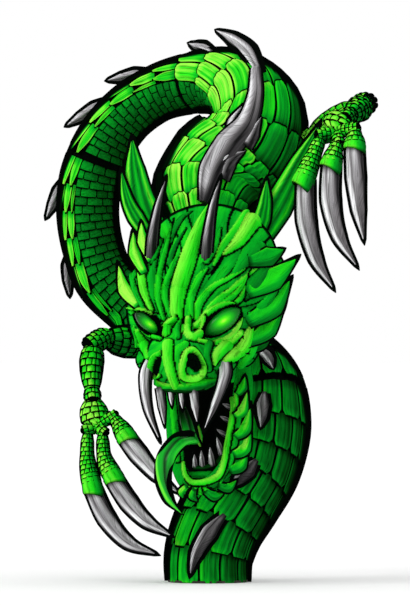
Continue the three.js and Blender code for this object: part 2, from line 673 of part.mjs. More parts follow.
// The long pieces and the digits of each arm. A radius is given for each of a run's evenly spaced rings.
const ARMS = {
  left: {
    upper_arm: {
      points: [[-132, 112, 598], [-196, 44, 600], [-266, -4, 608]],
      radii: [20, 36, 41, 42, 36, 16],
    },
    forearm: {
      points: [[-287, -20, 596], [-292, -44, 540], [-290, -66, 470]],
      radii: [14, 28, 31, 29, 24, 14],
    },
    palm: {
      points: [[-289, -74, 462], [-286, -90, 428], [-278, -108, 388]],
      radii: [14, 25, 33, 36, 36, 22],
      thick: 0.62,
    },
    digits: [
      {
        run: [[-300, -112, 382], [-301, -124, 305], [-286, -138, 228]],
        claw: [[-288, -137, 236], [-252, -154, 160], [-198, -176, 100], [-125, -192, 72]],
      },
      {
        run: [[-264, -118, 378], [-258, -134, 310], [-232, -154, 256]],
        claw: [[-240, -150, 268], [-196, -170, 200], [-150, -192, 152], [-88, -214, 118]],
      },
      {
        run: [[-240, -114, 414], [-222, -128, 392], [-200, -146, 358]],
        claw: [[-208, -140, 368], [-172, -164, 320], [-128, -194, 270], [-70, -226, 224]],
      },
    ],
    digitRadius: 19,
    clawRadius: 25,
  },
  right: {
    upper_arm: {
      points: [[262, -16, 1112], [318, 4, 1150], [386, -2, 1196]],
      radii: [22, 33, 37, 37, 32, 12],
    },
    forearm: {
      points: [[396, -22, 1198], [376, -84, 1182], [350, -148, 1163]],
      radii: [12, 30, 34, 32, 27, 14],
    },
    palm: {
      points: [[345, -160, 1159], [332, -180, 1146], [320, -202, 1122]],
      radii: [14, 28, 38, 44, 42, 24],
      thick: 0.55,
    },
    digits: [
      {
        run: [[282, -214, 1116], [260, -228, 1058], [234, -240, 992]],
        claw: [[242, -236, 1004], [244, -256, 900], [268, -272, 805], [312, -282, 730]],
      },
      {
        run: [[324, -226, 1100], [314, -240, 1072], [304, -250, 1036]],
        claw: [[306, -247, 1046], [304, -266, 950], [325, -282, 860], [370, -292, 785]],
      },
      {
        run: [[362, -222, 1130], [364, -232, 1110], [364, -240, 1084]],
        claw: [[363, -237, 1096], [366, -256, 1008], [373, -270, 925], [386, -278, 848]],
      },
    ],
    digitRadius: 20,
    clawRadius: 27,
  },
};
const DIGIT_SWELLING = [0.5, 0.85, 0.9, 1.15, 1.3, 1.25]; // along a digit, to the hood over its claw

for (const [side, arm] of Object.entries(ARMS)) {
  for (const piece of ["upper_arm", "forearm", "palm"]) {
    const { points, radii, thick = 1 } = arm[piece];
    const sizes = radii.map((r) => [r, r * thick]);
    addPart(`${side}_${piece}`, swept(points, sizes, { steps: sizes.length - 1 }), LIMB_GREEN);
  }
  arm.digits.forEach(({ run, claw }, i) => {
    const sizes = DIGIT_SWELLING.map((k) => [arm.digitRadius * k, arm.digitRadius * k]);
    const digit = (grow) => swept(run, sizes, { steps: sizes.length - 1, grow });
    addPart(`${side}_finger_${i + 1}`, digit(0), LIMB_GREEN);
    const clawSizes = [0.95, 0.95, 0.6, 0].map((k) => [arm.clawRadius * k, arm.clawRadius * 0.8 * k]);
    const whole = swept(claw, clawSizes, { steps: 7 });
    addPart(`${side}_claw_${i + 1}`, largest(whole.subtract(digit(FIT_GAP))).simplify(0.05), HORN_GREY);
  });
}

export default group;
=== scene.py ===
"""Looks of a dragon show kite: scaled skins, horned head, clawed arms and fins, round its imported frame."""

import math
from itertools import pairwise

import bmesh
import bpy
import numpy as np
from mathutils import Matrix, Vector
from mathutils.bvhtree import BVHTree


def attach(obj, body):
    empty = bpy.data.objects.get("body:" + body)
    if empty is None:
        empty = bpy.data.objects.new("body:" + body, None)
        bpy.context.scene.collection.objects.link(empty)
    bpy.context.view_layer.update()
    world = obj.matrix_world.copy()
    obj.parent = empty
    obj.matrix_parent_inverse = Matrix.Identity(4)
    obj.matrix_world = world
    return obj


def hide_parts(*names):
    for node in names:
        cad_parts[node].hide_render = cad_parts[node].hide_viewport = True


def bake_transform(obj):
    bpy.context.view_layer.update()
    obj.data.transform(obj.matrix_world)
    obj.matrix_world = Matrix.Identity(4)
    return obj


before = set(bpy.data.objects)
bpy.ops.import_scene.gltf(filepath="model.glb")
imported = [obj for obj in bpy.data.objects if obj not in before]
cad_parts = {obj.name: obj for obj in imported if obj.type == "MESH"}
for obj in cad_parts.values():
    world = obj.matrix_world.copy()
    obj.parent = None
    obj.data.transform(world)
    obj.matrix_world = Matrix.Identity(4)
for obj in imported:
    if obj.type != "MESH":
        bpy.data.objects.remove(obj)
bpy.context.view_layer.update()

# All measures are in millimetres in the kite's own frame: X right, Y away from the viewer, Z up.
STANCE = 104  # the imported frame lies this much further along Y
RANDOM = np.random.default_rng(11)
TOWARDS_VIEWER = np.array([0.0, -1.0, 0.0])

# ---- Colours ------------------------------------------------------------------------------------


def linear(red, green, blue):
    """A colour as it looks on a screen, 0 to 255, in the linear values that shaders use."""
    c = np.array([red, green, blue]) / 255
    return np.where(c <= 0.04045, c / 12.92, ((c + 0.055) / 1.055) ** 2.4)


INK = linear(2, 5, 3)
GREENS = [(2, 14, 4), (5, 58, 12), (8, 112, 30), (8, 172, 36), (34, 220, 28), (160, 250, 76)]
GREYS = [(12, 12, 13), (62, 60, 62), (108, 105, 107), (168, 166, 169), (244, 244, 246)]


def ramp(table, level):
    """Colours for levels from 0, the table's first colour, to 1, its last."""
    colours = np.array([linear(*c) for c in table])
    at = np.clip(level, 0, 1) * (len(colours) - 1)
    low = np.minimum(at.astype(int), len(colours) - 2)
    share = (at - low)[..., None]
    return colours[low] * (1 - share) + colours[low + 1] * share


def greens(level):
    return ramp(GREENS, level)


def greys(level):
    return ramp(GREYS, level)


def step(low, high, x):
    """0 below low, 1 above high and smooth between; low may be the larger."""
    share = np.clip((np.asarray(x, float) - low) / (high - low), 0, 1)
    return share * share * (3 - 2 * share)


def unit(v):
    v = np.asarray(v, float)
    return v / np.maximum(np.linalg.norm(v, axis=-1, keepdims=True), 1e-9)


SUNNY_SIDE = unit([-0.72, -0.42, 0.55])  # the side the sun lamp shines from, and on which painted light makes the colours lightest


def sunny(normal):
    """0 to 1, by how far a surface turns to the light: the amount of painted light on it."""
    return 0.5 + 0.5 * (normal @ SUNNY_SIDE)


def edging(normal, width):
    """1 on the flanks, which are dyed nearly black as an outline, and 0 elsewhere."""
    facing = normal @ TOWARDS_VIEWER
    return step(width, width - 0.07, facing) * step(-0.1, -0.04, facing)


# ---- Materials ----------------------------------------------------------------------------------


def new_material(name, roughness, specular, metallic=0.0):
    material = bpy.data.materials.new(name)
    material.use_nodes = True
    shader = material.node_tree.nodes["Principled BSDF"]
    shader.inputs["Roughness"].default_value = roughness
    shader.inputs["Specular IOR Level"].default_value = specular
    shader.inputs["Metallic"].default_value = metallic
    return material, material.node_tree, shader


def attribute(tree, name):
    node = tree.nodes.new("ShaderNodeAttribute")
    node.attribute_name = name
    return node


def stretched_noise(tree, source, scale, detail, low, high, dark, light):
    """Noise stretched by a scale for each axis, as a factor from dark to light."""
    mapping = tree.nodes.new("ShaderNodeMapping")
    mapping.inputs["Scale"].default_value = scale
    noise = tree.nodes.new("ShaderNodeTexNoise")
    noise.inputs["Scale"].default_value = 1.0
    noise.inputs["Detail"].default_value = detail
    spread = tree.nodes.new("ShaderNodeMapRange")
    spread.inputs["From Min"].default_value = low
    spread.inputs["From Max"].default_value = high
    spread.inputs["To Min"].default_value = dark
    spread.inputs["To Max"].default_value = light
    tree.links.new(source, mapping.inputs["Vector"])
    tree.links.new(mapping.outputs["Vector"], noise.inputs["Vector"])
    tree.links.new(noise.outputs["Fac"], spread.inputs["Value"])
    return spread.outputs["Result"]


def multiplied(tree, colour, factor):
    mix = tree.nodes.new("ShaderNodeMix")
    mix.data_type = "RGBA"
    mix.blend_type = "MULTIPLY"
    mix.inputs["Factor"].default_value = 1.0
    tree.links.new(colour, mix.inputs["A"])
    tree.links.new(factor, mix.inputs["B"])
    return mix.outputs["Result"]


def bumped(tree, shader, height, strength, distance):
    bump = tree.nodes.new("ShaderNodeBump")
    bump.inputs["Strength"].default_value = strength
    bump.inputs["Distance"].default_value = distance
    tree.links.new(height, bump.inputs["Height"])
    tree.links.new(bump.outputs["Normal"], shader.inputs["Normal"])


THREADS = 900  # to a metre


def weave_bump(tree, shader, threads, strength):
    """A plain weave: two sets of threads, with that many to a metre, as bump."""
    place = tree.nodes.new("ShaderNodeTexCoord")
    total = None
    for direction in ("X", "Z"):
        wave = tree.nodes.new("ShaderNodeTexWave")
        wave.bands_direction = direction
        wave.inputs["Scale"].default_value = threads / 20
        wave.inputs["Distortion"].default_value = 0.6
        tree.links.new(place.outputs["Object"], wave.inputs["Vector"])
        if total is None:
            total = wave.outputs["Fac"]
            continue
        both = tree.nodes.new("ShaderNodeMath")
        both.operation = "MULTIPLY"
        tree.links.new(total, both.inputs[0])
        tree.links.new(wave.outputs["Fac"], both.inputs[1])
        total = both.outputs["Value"]
    bumped(tree, shader, total, strength, 0.0004)


def painted(name, roughness=0.6, specular=0.0, streak=(0.22, 0.02), lines=0.35, depth=0.3, weave=0.25):
    """A surface with its mesh's own paint, streaked along its grain, with thin dark brush lines."""
    material, tree, shader = new_material(name, roughness, specular)
    colour = attribute(tree, "paint").outputs["Color"]
    grain = attribute(tree, "grain").outputs["Vector"]
    broad = stretched_noise(tree, grain, (*streak, 1), 3, 0.3, 0.7, 1 - depth, 1 + depth * 0.7)
    fine = (streak[0] * 1.7, streak[1] * 0.7, 1)
    thin = stretched_noise(tree, grain, fine, 2, 0.66, 0.6, lines, 1)
    colour = multiplied(tree, multiplied(tree, colour, broad), thin)
    tree.links.new(colour, shader.inputs["Base Color"])
    if weave:
        weave_bump(tree, shader, THREADS, weave)
    return material


def solid_colour(name, colour, roughness, specular, mottle=0.3, scale=60, metallic=0.0, grain=(1, 1, 1)):
    """One colour with procedural mottling, for the pieces of the frame."""
    material, tree, shader = new_material(name, roughness, specular, metallic)
    place = tree.nodes.new("ShaderNodeTexCoord").outputs["Object"]
    scales = tuple(scale * g for g in grain)
    factor = stretched_noise(tree, place, scales, 4, 0.3, 0.7, 1 - mottle, 1 + mottle)
    base = tree.nodes.new("ShaderNodeRGB")
    base.outputs[0].default_value = (*linear(*colour), 1)
    tree.links.new(multiplied(tree, base.outputs[0], factor), shader.inputs["Base Color"])
    bumped(tree, shader, factor, 0.15, 0.0005)
    return material


SCALE_CLOTH = painted("printed_scale_cloth")
BELLY_CLOTH = painted("printed_belly_cloth", streak=(0.1, 0.25), lines=0.6, depth=0.35)
HEAD_CLOTH = painted("moulded_head_cloth", roughness=0.5, streak=(0.3, 0.03), lines=0.55, depth=0.22)
LIMB_CLOTH = painted("printed_limb_cloth", streak=(0.16, 0.08), lines=0.55, depth=0.25)
TONGUE_CLOTH = painted("tongue_satin", 0.35, 0.15, streak=(0.3, 0.015), lines=0.7, depth=0.2)
HORN_CLOTH = painted("horn_cloth", 0.5, 0.08, streak=(0.34, 0.012), lines=0.25, depth=0.4)
BLACK_CLOTH = painted("black_cloth", roughness=0.9, specular=0.02, lines=0.8, depth=0.4, weave=0.5)

# ---- Meshes in the making -----------------------------------------------------------------------


def metres(points):
    return (np.asarray(points, float).reshape(-1, 3) + [0, STANCE, 0]) / 1000


def lattice(rows, columns, wrap=False):
    """Quads of a grid of points. Wrap joins the last column to the first."""
    last = columns if wrap else columns - 1
    r, c = np.meshgrid(np.arange(rows - 1), np.arange(last), indexing="ij")
    after = (c + 1) % columns
    corners = [r * columns + c, r * columns + after, (r + 1) * columns + after, (r + 1) * columns + c]
    return np.stack(corners, -1).reshape(-1, 4).tolist()


def circle(sides):
    """Angles evenly round a circle, without the last one, which is the first again."""
    return np.linspace(0, 2 * np.pi, sides, endpoint=False)


def caps(rings, sides):
    """The faces that close both ends of a row of rings."""
    last = (rings - 1) * sides
    return [list(range(sides))[::-1], [last + i for i in range(sides)]]


def closed(rings, sides, wrap=True):
    """Quads of a grid of points whose last row joins its first."""
    count = rings * sides
    return [[i % count for i in face] for face in lattice(rings + 1, sides, wrap)]


FLOOR = 0.3  # nothing dips below the flat end it stands on


class Shape:
    """Points in millimetres and faces, with a colour and a grain at each point."""

    def __init__(self):
        self.points, self.colours, self.grains, self.faces = [], [], [], []
        self.count = 0

    def add(self, points, faces, colours, grains=None):
        points = np.asarray(points, float).reshape(-1, 3)
        n = len(points)
        self.faces.extend([i + self.count for i in f] for f in faces)
        self.points.append(points)
        one_colour = np.ndim(colours) == 1
        self.colours.append(np.broadcast_to(colours, (n, 3)) if one_colour else colours.reshape(-1, 3))
        self.grains.append(points if grains is None else grains.reshape(-1, 3))
        self.count += n

    def build(self, name, material, slot, body=None, replaces=(), sharp=35):
        mesh = bpy.data.meshes.new(name)
        points = np.vstack(self.points)
        points[:, 2] = np.maximum(points[:, 2], FLOOR)
        mesh.from_pydata(metres(points).tolist(), [], self.faces)
        whole = bmesh.new()
        whole.from_mesh(mesh)
        bmesh.ops.recalc_face_normals(whole, faces=whole.faces)
        whole.to_mesh(mesh)
        whole.free()
        put_paint(mesh, np.vstack(self.colours), np.vstack(self.grains))
        mesh.shade_smooth()
        mesh.set_sharp_from_angle(angle=math.radians(sharp))
        return placed(bpy.data.objects.new(name, mesh), material, body, replaces)


def put_paint(mesh, colours, grains):
    n = len(mesh.vertices)
    paint = mesh.attributes.new("paint", "FLOAT_COLOR", "POINT")
    paint.data.foreach_set("color", np.hstack([colours, np.ones((n, 1))]).astype(np.float32).ravel())
    grain = mesh.attributes.new("grain", "FLOAT_VECTOR", "POINT")
    grain.data.foreach_set("vector", grains.astype(np.float32).ravel())


def placed(obj, material, body=None, replaces=()):
    if obj.name not in bpy.context.scene.collection.objects:
        bpy.context.scene.collection.objects.link(obj)
    obj.data.materials.clear()
    obj.data.materials.append(material)
    if body:
        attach(obj, body)
    if replaces:
        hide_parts(*replaces)
    return obj


def blended(obj, start_body, end_body, start, end):
    """Bakes a piece's place into its mesh. The bodies and points that it takes are not used."""
    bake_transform(obj)


# ---- Paths and tubes ----------------------------------------------------------------------------


def spline(points, t):
    """Places and directions at t, 0 to 1, on a Catmull-Rom curve through the points."""
    p = np.asarray(points, float)
    p = np.vstack([2 * p[0] - p[1], p, 2 * p[-1] - p[-2]])
    u = np.clip(np.asarray(t, float), 0, 1) * (len(points) - 1)
    i = np.minimum(u.astype(int), len(points) - 2)
    f = (u - i)[..., None]
    a, b, c, d = p[i], p[i + 1], p[i + 2], p[i + 3]
    bend, twist = 2 * a - 5 * b + 4 * c - d, 3 * b - a - 3 * c + d
    place = 0.5 * (2 * b + (c - a) * f + bend * f**2 + twist * f**3)
    slope = 0.5 * ((c - a) + 2 * bend * f + 3 * twist * f**2)
    return place, unit(slope)


def shares(values, t):
    """Values at t, 0 to 1, from a list of evenly spaced ones."""
    values = np.asarray(values, float)
    grid = np.linspace(0, 1, len(values))
    if values.ndim == 1:
        return np.interp(t, grid, values)
    return np.stack([np.interp(t, grid, values[:, k]) for k in range(values.shape[1])], -1)


# Place, half width and direction of the back of the body's section, station by station from the foot.
BODY_STATIONS = np.array([
    [0, -104, 0, 104, 0, -1, 0],
    [2, -104, 68, 108, 0, -1, 0],
    [26, -92, 140, 112, 0, -1, 0],
    [68, -64, 212, 116, 0, -1, 0],
    [113, -28, 292, 119, 0, -1, 0],
    [136, 8, 385, 120, 0, -1, 0],
    [130, 46, 472, 114, 0.1, -0.8, 0.6],
    [92, 100, 538, 104, 0.2, -0.3, 0.9],
    [25, 154, 582, 98, 0.1, 0.3, 0.95],
    [-50, 188, 606, 94, 0, 0.8, 0.6],
    [-126, 203, 638, 88, -0.2, 1, -0.3],
    [-196, 205, 696, 80, -0.6, 0.5, -0.6],
    [-262, 205, 760, 80, -0.85, 0.45, -0.3],
    [-292, 203, 835, 79, -0.9, 0.4, -0.1],
    [-306, 200, 925, 81, -0.9, 0.4, 0],
    [-297, 195, 1018, 82, -0.9, 0.4, 0.15],
    [-262, 188, 1105, 79, -0.8, 0.4, 0.45],
    [-205, 180, 1178, 75, -0.6, 0.4, 0.7],
    [-128, 165, 1230, 74, -0.35, 0.35, 0.87],
    [-45, 135, 1254, 80, -0.1, 0.25, 0.95],
    [30, 82, 1258, 92, 0, 0, 1],
    [88, 28, 1228, 108, 0.3, -0.5, 0.8],
    [124, -8, 1165, 122, 0.15, -0.95, 0.3],
    [105, -32, 1092, 138, 0, -1, 0.1],
    [52, -48, 1030, 158, -0.1, -1, 0.1],
    [4, -90, 956, 150, -0.1, -0.85, 0.5],
    [-8, -188, 856, 92, -0.1, -0.72, 0.68],
])
LAST_STATION = len(BODY_STATIONS) - 1
BODY_FLATNESS = 0.92
SEGMENTS = {
    "tail": (0, 5.95),
    "chest": (5.95, 10.5),
    "loop": (10.5, 15.5),
    "arch": (15.5, 19),
    "neck": (19, LAST_STATION),
}
JOINT_GAP = 20  # between the skins of two segments


def body_section(t):
    """Centre, tangent, side, back, half width and half depth of the body at station t."""
    t = np.clip(np.asarray(t, float), 0, LAST_STATION)
    low = np.minimum(t.astype(int), LAST_STATION - 1)
    share = (t - low)[..., None]
    mixed = BODY_STATIONS[low] * (1 - share) + BODY_STATIONS[low + 1] * share
    centre, tangent = spline(BODY_STATIONS[:, :3], t / LAST_STATION)
    side = unit(np.cross(mixed[..., 4:7], tangent))
    back = unit(np.cross(tangent, side))
    return centre, tangent, side, back, mixed[..., 3], mixed[..., 3] * BODY_FLATNESS


def axes_across(tangent, up):
    """The two directions across a path: to its side, and the one nearest to up."""
    side = unit(np.cross(tangent, up))
    return side, unit(np.cross(side, tangent))


def limb_section(points, radii, thick=1.0, up=TOWARDS_VIEWER):
    """The same for a limb, at t from 0 at its root to 1 at its tip. The back of a limb is its up side."""

    def section(t):
        centre, tangent = spline(points, t)
        radius = shares(radii, t)
        return centre, tangent, *axes_across(tangent, up), radius, radius * thick

    return section


def on_surface(section, t, angle, lift=0.0):
    """Points on a tube at an angle from its back, raised by lift, and the directions out."""
    centre, _, side, back, width, depth = section(t)
    c, s = np.cos(angle)[..., None], np.sin(angle)[..., None]
    lift = np.asarray(lift, float)
    out = back * c * (depth + lift)[..., None] - side * s * (width + lift)[..., None]
    return centre + out, unit(back * c * width[..., None] - side * s * depth[..., None])


class Track:
    """Turns millimetres along a tube into its own parameter."""

    def __init__(self, section, low, high, count=800):
        self.t = np.linspace(low, high, count)
        places = section(self.t)[0]
        gaps = np.linalg.norm(np.diff(places, axis=0), axis=1)
        self.mm = np.concatenate([[0], np.cumsum(gaps)])
        self.length = self.mm[-1]

    def at(self, mm):
        return np.interp(mm, self.mm, self.t)

    def along(self, t):
        return np.interp(t, self.t, self.mm)


BODY_TRACK = Track(body_section, 0, LAST_STATION, 3000)


def segment_span(name):
    """Millimetres along the body at which a segment's skin starts and ends."""
    low, high = SEGMENTS[name]
    start = BODY_TRACK.along(low) + (JOINT_GAP / 2 if low > 0 else 0)
    end = BODY_TRACK.along(high) - (JOINT_GAP / 2 if high < LAST_STATION else 0)
    return start, end


def skin(shape, section, ts, lift, wall, colour=INK, sides=48):
    """A cloth tube with a wall, open at both ends, through sections at ts."""
    t, a = np.meshgrid(ts, circle(sides), indexing="ij")
    outer, _ = on_surface(section, t, a, lift)
    inner, _ = on_surface(section, t, a, lift - wall)
    rings = np.concatenate([outer, inner[::-1]])
    shape.add(rings, closed(len(rings), sides), colour)


def piping(shape, section, ts, inner=4, outer=5, thick=2.5):
    """Black edges that stand out from both flanks of a tube, as seen from the front."""
    centre, tangent, side, back, width, depth = section(ts)
    flank = unit(np.cross(tangent, TOWARDS_VIEWER))
    radius = np.hypot((flank * side).sum(-1) * width, (flank * back).sum(-1) * depth)
    for hand in (-1, 1):
        low = centre + flank * (hand * (radius - inner))[:, None]
        high = centre + flank * (hand * (radius + outer))[:, None]
        ribbon(shape, low, high, thick)


def ribbon(shape, low, high, thick):
    """A flat strip between two rows of points, thick along the view."""
    y = -TOWARDS_VIEWER * thick
    rings = np.stack([low - y, high - y * 0.4, high + y * 0.4, low + y], axis=1)
    shape.add(rings, lattice(len(low), 4, wrap=True) + caps(len(low), 4), INK)


# ---- Plates: scales, belly bands and scutes -----------------------------------------------------


class Plate:
    """The form of one kind of plate: its outline, its relief and how finely it is meshed."""

    def __init__(self, along, across, outline, root, tip, crown, flute=0.0, gap=1.2, ink=(0.9, 0.9)):
        self.along, self.across, self.outline, self.ink = along, across, outline, ink
        self.root, self.tip, self.crown, self.flute, self.gap = root, tip, crown, flute, gap

    def grid(self):
        """Places on a plate, along and across, with a row of points for its inked edge and its hem."""
        end, flank = self.ink
        s = np.concatenate([[0], np.linspace(0, end, self.along - 2), [end + 0.02, 1, 1]])
        w = np.concatenate([[-1, -1, -flank - 0.02], np.linspace(-flank, flank, self.across - 4)])
        return np.meshgrid(s, np.concatenate([w, -w[2::-1]]), indexing="ij")

    def inked(self, s, w):
        end, flank = self.ink
        return (s > end + 0.01) | (np.abs(w) > flank + 0.01)


def square_end(s):
    return 1 - 0.3 * step(0.8, 1, s) - 0.06 * (1 - s)


def pointed_end(s):
    return 1 - 0.97 * np.clip((s - 0.42) / 0.58, 0, 1) ** 1.5


def straight(s):
    return 1 - 0.12 * step(0.75, 1, s) - 0.12 * step(0.25, 0, s)


BODY_PLATE = Plate(11, 15, square_end, root=-12.5, tip=-7.0, crown=3.4, flute=1.3, ink=(0.945, 0.94))
POINTED_PLATE = Plate(13, 13, pointed_end, root=-12.5, tip=-6.0, crown=3.4, flute=1.2, ink=(0.93, 0.88))
BELLY_PLATE = Plate(7, 9, straight, root=-12.0, tip=-8.5, crown=1.6, gap=0.8, ink=(0.84, 0.94))
SCUTE = Plate(7, 9, straight, root=-4.6, tip=-1.2, crown=2.4, gap=0.7, ink=(0.82, 0.86))
PAST_RISE = 5.0  # of the free edge of a plate that runs over a gap
HEM_DROP = 3.5  # of the hem under a plate's edge
UNEVEN = 0.13  # how far an edge between plates strays, in plates


def edges_of_row(row, low, high, count):
    """Edges between the plates of one row, staggered from row to row, a little uneven."""
    cell = (high - low) / count
    inner = low + cell * (np.arange(1, count) if row % 2 == 0 else np.arange(count) + 0.5)
    inner = inner + RANDOM.uniform(-UNEVEN, UNEVEN, len(inner)) * cell
    return np.concatenate([[low], inner, [high]])


def plate_rows(shape, section, track, start, end, pitch, wide, arc, plate, paint, past=0):
    """Rows of overlapping plates from start to end, in millimetres, with their free edges towards end.
    With past, the last row runs that far over the gap beyond the end and rises."""
    rows = max(1, round(abs(end - start) / pitch))
    reach = (end - start) / rows
    for row in range(rows):
        root = start + reach * row
        middle = section(track.at(root + reach / 2))
        low, high = arc(track.at(root + reach / 2))
        count = max(1, round((high - low) * (middle[4] + middle[5]) / 2 / wide))
        edges = edges_of_row(row, low, high, count)
        for a, b in pairwise(edges):
            last = past if row == rows - 1 else 0
            add_plate(shape, section, track, root, reach, (a, b), plate, paint, last)


def add_plate(shape, section, track, root, reach, angles, plate, paint, past=0):
    s, w = plate.grid()
    overlap = past or min(6, abs(reach) * 0.12)
    mm = root + s * (reach + math.copysign(overlap, reach))
    t = track.at(mm)
    radius = section(track.at(root + reach / 2))[4]
    half = max((angles[1] - angles[0]) / 2 - plate.gap / radius, 1.5 / radius)
    angle = (angles[0] + angles[1]) / 2 + w * half * plate.outline(s)
    phase, tone = RANDOM.uniform(0, 6.3), RANDOM.uniform(-1, 1)
    lift = plate.root + (plate.tip - plate.root) * s
    lift = lift + plate.crown * (1 - w**2) - plate.crown * 0.4 * step(0.9, 1, s)
    lift = lift + plate.flute * np.cos(w * 7 + phase) * (1 - w**4) + (PAST_RISE * s if past else 0)
    hem = np.ones_like(s, bool)
    hem[1:-1, 1:-1] = False
    lift = np.where(hem, plate.root - HEM_DROP, lift)
    points, normal = on_surface(section, t, angle, lift)
    colours = np.where(plate.inked(s, w)[..., None], INK, paint(t, normal, s, w, tone))
    grains = np.stack([w * half * radius, mm, np.full_like(mm, tone * 500)], -1)
    rows, columns = s.shape
    rim = [*range(columns), *range(2 * columns - 1, rows * columns, columns)]
    rim += [*range(rows * columns - 2, (rows - 1) * columns - 1, -1)]
    rim += [*range((rows - 2) * columns, 0, -columns)]
    shape.add(points, lattice(rows, columns) + [rim[::-1]], colours, grains)


# ---- The body -----------------------------------------------------------------------------------

# Levels of the back's scales along the body, their tone with painted light and shade: station, level on the
# side in painted shade, level on the side in painted light.
SCALE_SHADE_AND_LIGHT = np.array([
    [0, 0.2, 0.62], [5, 0.18, 0.56], [8, 0.24, 0.66], [10.5, 0.4, 0.84], [17, 0.4, 0.84], [19, 0.38, 0.86],
    [21, 0.3, 0.86], [24, 0.3, 0.84], [26, 0.32, 0.84],
])
FLANK_EDGE = 0.4


def scale_paint(t, normal, s, w, tone):
    low, high = (np.interp(t, SCALE_SHADE_AND_LIGHT[:, 0], SCALE_SHADE_AND_LIGHT[:, k]) for k in (1, 2))
    # Painted light: the scales are lighter on the side turned to the light.
    light = step(0.25, 0.95, sunny(normal))
    # A painted highlight along the scale's edges and its free end.
    rim = 0.16 * np.maximum(step(0.66, 0.8, np.abs(w)), step(0.78, 0.88, s))
    # Painted shadow at the scale's root, under the row above, and painted shade towards one side.
    shade = -0.22 * step(0.3, 0.0, s) - 0.08 * step(-0.2, 0.7, w)
    streaks = 0.07 * np.cos(w * 11 + tone * 9)
    level = low + (high - low) * light + rim + shade + streaks + 0.08 * tone
    return greens(level * (1 - edging(normal, FLANK_EDGE)))


def belly_paint(t, normal, s, w, tone):
    # Painted light by how far the band turns to the light, and a painted shadow at each band's root, under
    # the one above.
    level = 0.27 + 0.2 * step(0.2, 0.9, sunny(normal)) + 0.05 * tone - 0.1 * step(0.3, 0, s)
    return greens(level * (1 - edging(normal, FLANK_EDGE)))


# How far round from the spine the back's scales reach, in degrees, by station.
BACK_REACH = np.array([[0, 112], [9, 104], [11, 88], [17, 86], [19.5, 98], [22, 112], [26, 116]])


def back_arc(t):
    half = math.radians(np.interp(t, BACK_REACH[:, 0], BACK_REACH[:, 1]))
    return -half, half


def belly_arc(t):
    half = back_arc(t)[1]
    return half, 2 * math.pi - half


SKIN_LIFT = -13.5  # the cloth under the plates, below the body's full size
SKIN_WALL = 1.4
# Pitch of the rows of plates, width of a plate, and its form.
SQUARE_ROWS = (70, 56, BODY_PLATE)
POINTED_ROWS = (66, 36, POINTED_PLATE)
BELLY_ROWS = (21, 42, BELLY_PLATE)
SCALES_OF = {"loop": POINTED_ROWS, "arch": POINTED_ROWS}  # the other segments have square scales
SCALES_PAST = JOINT_GAP - 5  # how far the last row runs over the gap to the segment below
BELLY_PAST = 4
FIRST_ROW = 2  # the plates stop this far from the skin's lower end
BARE_RINGS = 4  # of the neck, which have no piping because they lie behind the head


def body_plates(name, kind, rows, arc, paint, cloth, past):
    """One cloth of plates on a segment, laid from its upper end down to its lower end."""
    pitch, wide, plate = rows
    low, high = segment_span(name)
    low += FIRST_ROW
    if name == "tail":  # which stands on the floor and has no gap below
        past = 0
    shape = Shape()
    plate_rows(shape, body_section, BODY_TRACK, high, low, pitch, wide, arc, plate, paint, past)
    shape.build(f"{name}_{kind}", cloth, "scale_cloth", name)


def body_segment(name):
    under = Shape()
    ts = BODY_TRACK.at(np.linspace(*segment_span(name), 36))
    skin(under, body_section, ts, lift=SKIN_LIFT, wall=SKIN_WALL)
    piped = ts[:-BARE_RINGS] if name == "neck" else ts
    piping(under, body_section, piped, inner=15, outer=5, thick=3)
    under.build(f"{name}_cloth", BLACK_CLOTH, "scale_cloth", name, [f"{name}_skin"])
    rows = SCALES_OF.get(name, SQUARE_ROWS)
    body_plates(name, "scales", rows, back_arc, scale_paint, SCALE_CLOTH, SCALES_PAST)
    body_plates(name, "belly", BELLY_ROWS, belly_arc, belly_paint, BELLY_CLOTH, BELLY_PAST)


for segment in SEGMENTS:
    body_segment(segment)

SLEEVE_LAP = 9  # a sleeve of the body reaches this far under the skins on both sides
SLEEVE_DEPTH = 1.6  # and lies this far below them
PIPING_LAP = 1  # its piping reaches this far past the gap


def body_sleeve(parent, child):
    """A cloth tube with its own piping that crosses a hinge of the body."""
    shape = Shape()
    joint = BODY_TRACK.along(SEGMENTS[child][0])
    half = JOINT_GAP / 2 + SLEEVE_LAP
    ts = BODY_TRACK.at(np.linspace(joint - half, joint + half, 10))
    skin(shape, body_section, ts, lift=SKIN_LIFT - SLEEVE_DEPTH, wall=1.2, sides=40)
    half = JOINT_GAP / 2 + PIPING_LAP
    edges = BODY_TRACK.at(np.linspace(joint - half, joint + half, 6))
    piping(shape, body_section, edges, inner=17, outer=4, thick=2)
    obj = shape.build(f"{parent}_{child}_sleeve", BLACK_CLOTH, "scale_cloth")
    blended(obj, parent, child, *body_section(ts[[0, -1]])[0])


for low, high in pairwise(SEGMENTS):
    body_sleeve(low, high)

# ---- Swept pieces: leaves, horns, claws ---------------------------------------------------------


THINNEST = 0.4  # half thickness of a tip
GROOVE_WIDTH = 0.22


def rings_round(centre, side, high, size, wide, thick):
    """Rings round a path, from the shape of its section at half width and half thickness 1."""
    rings = centre[:, None] + high[:, None] * (size[:, 1:2] * thick)[..., None]
    return rings + side[:, None] * (size[:, 0:1] * wide)[..., None]


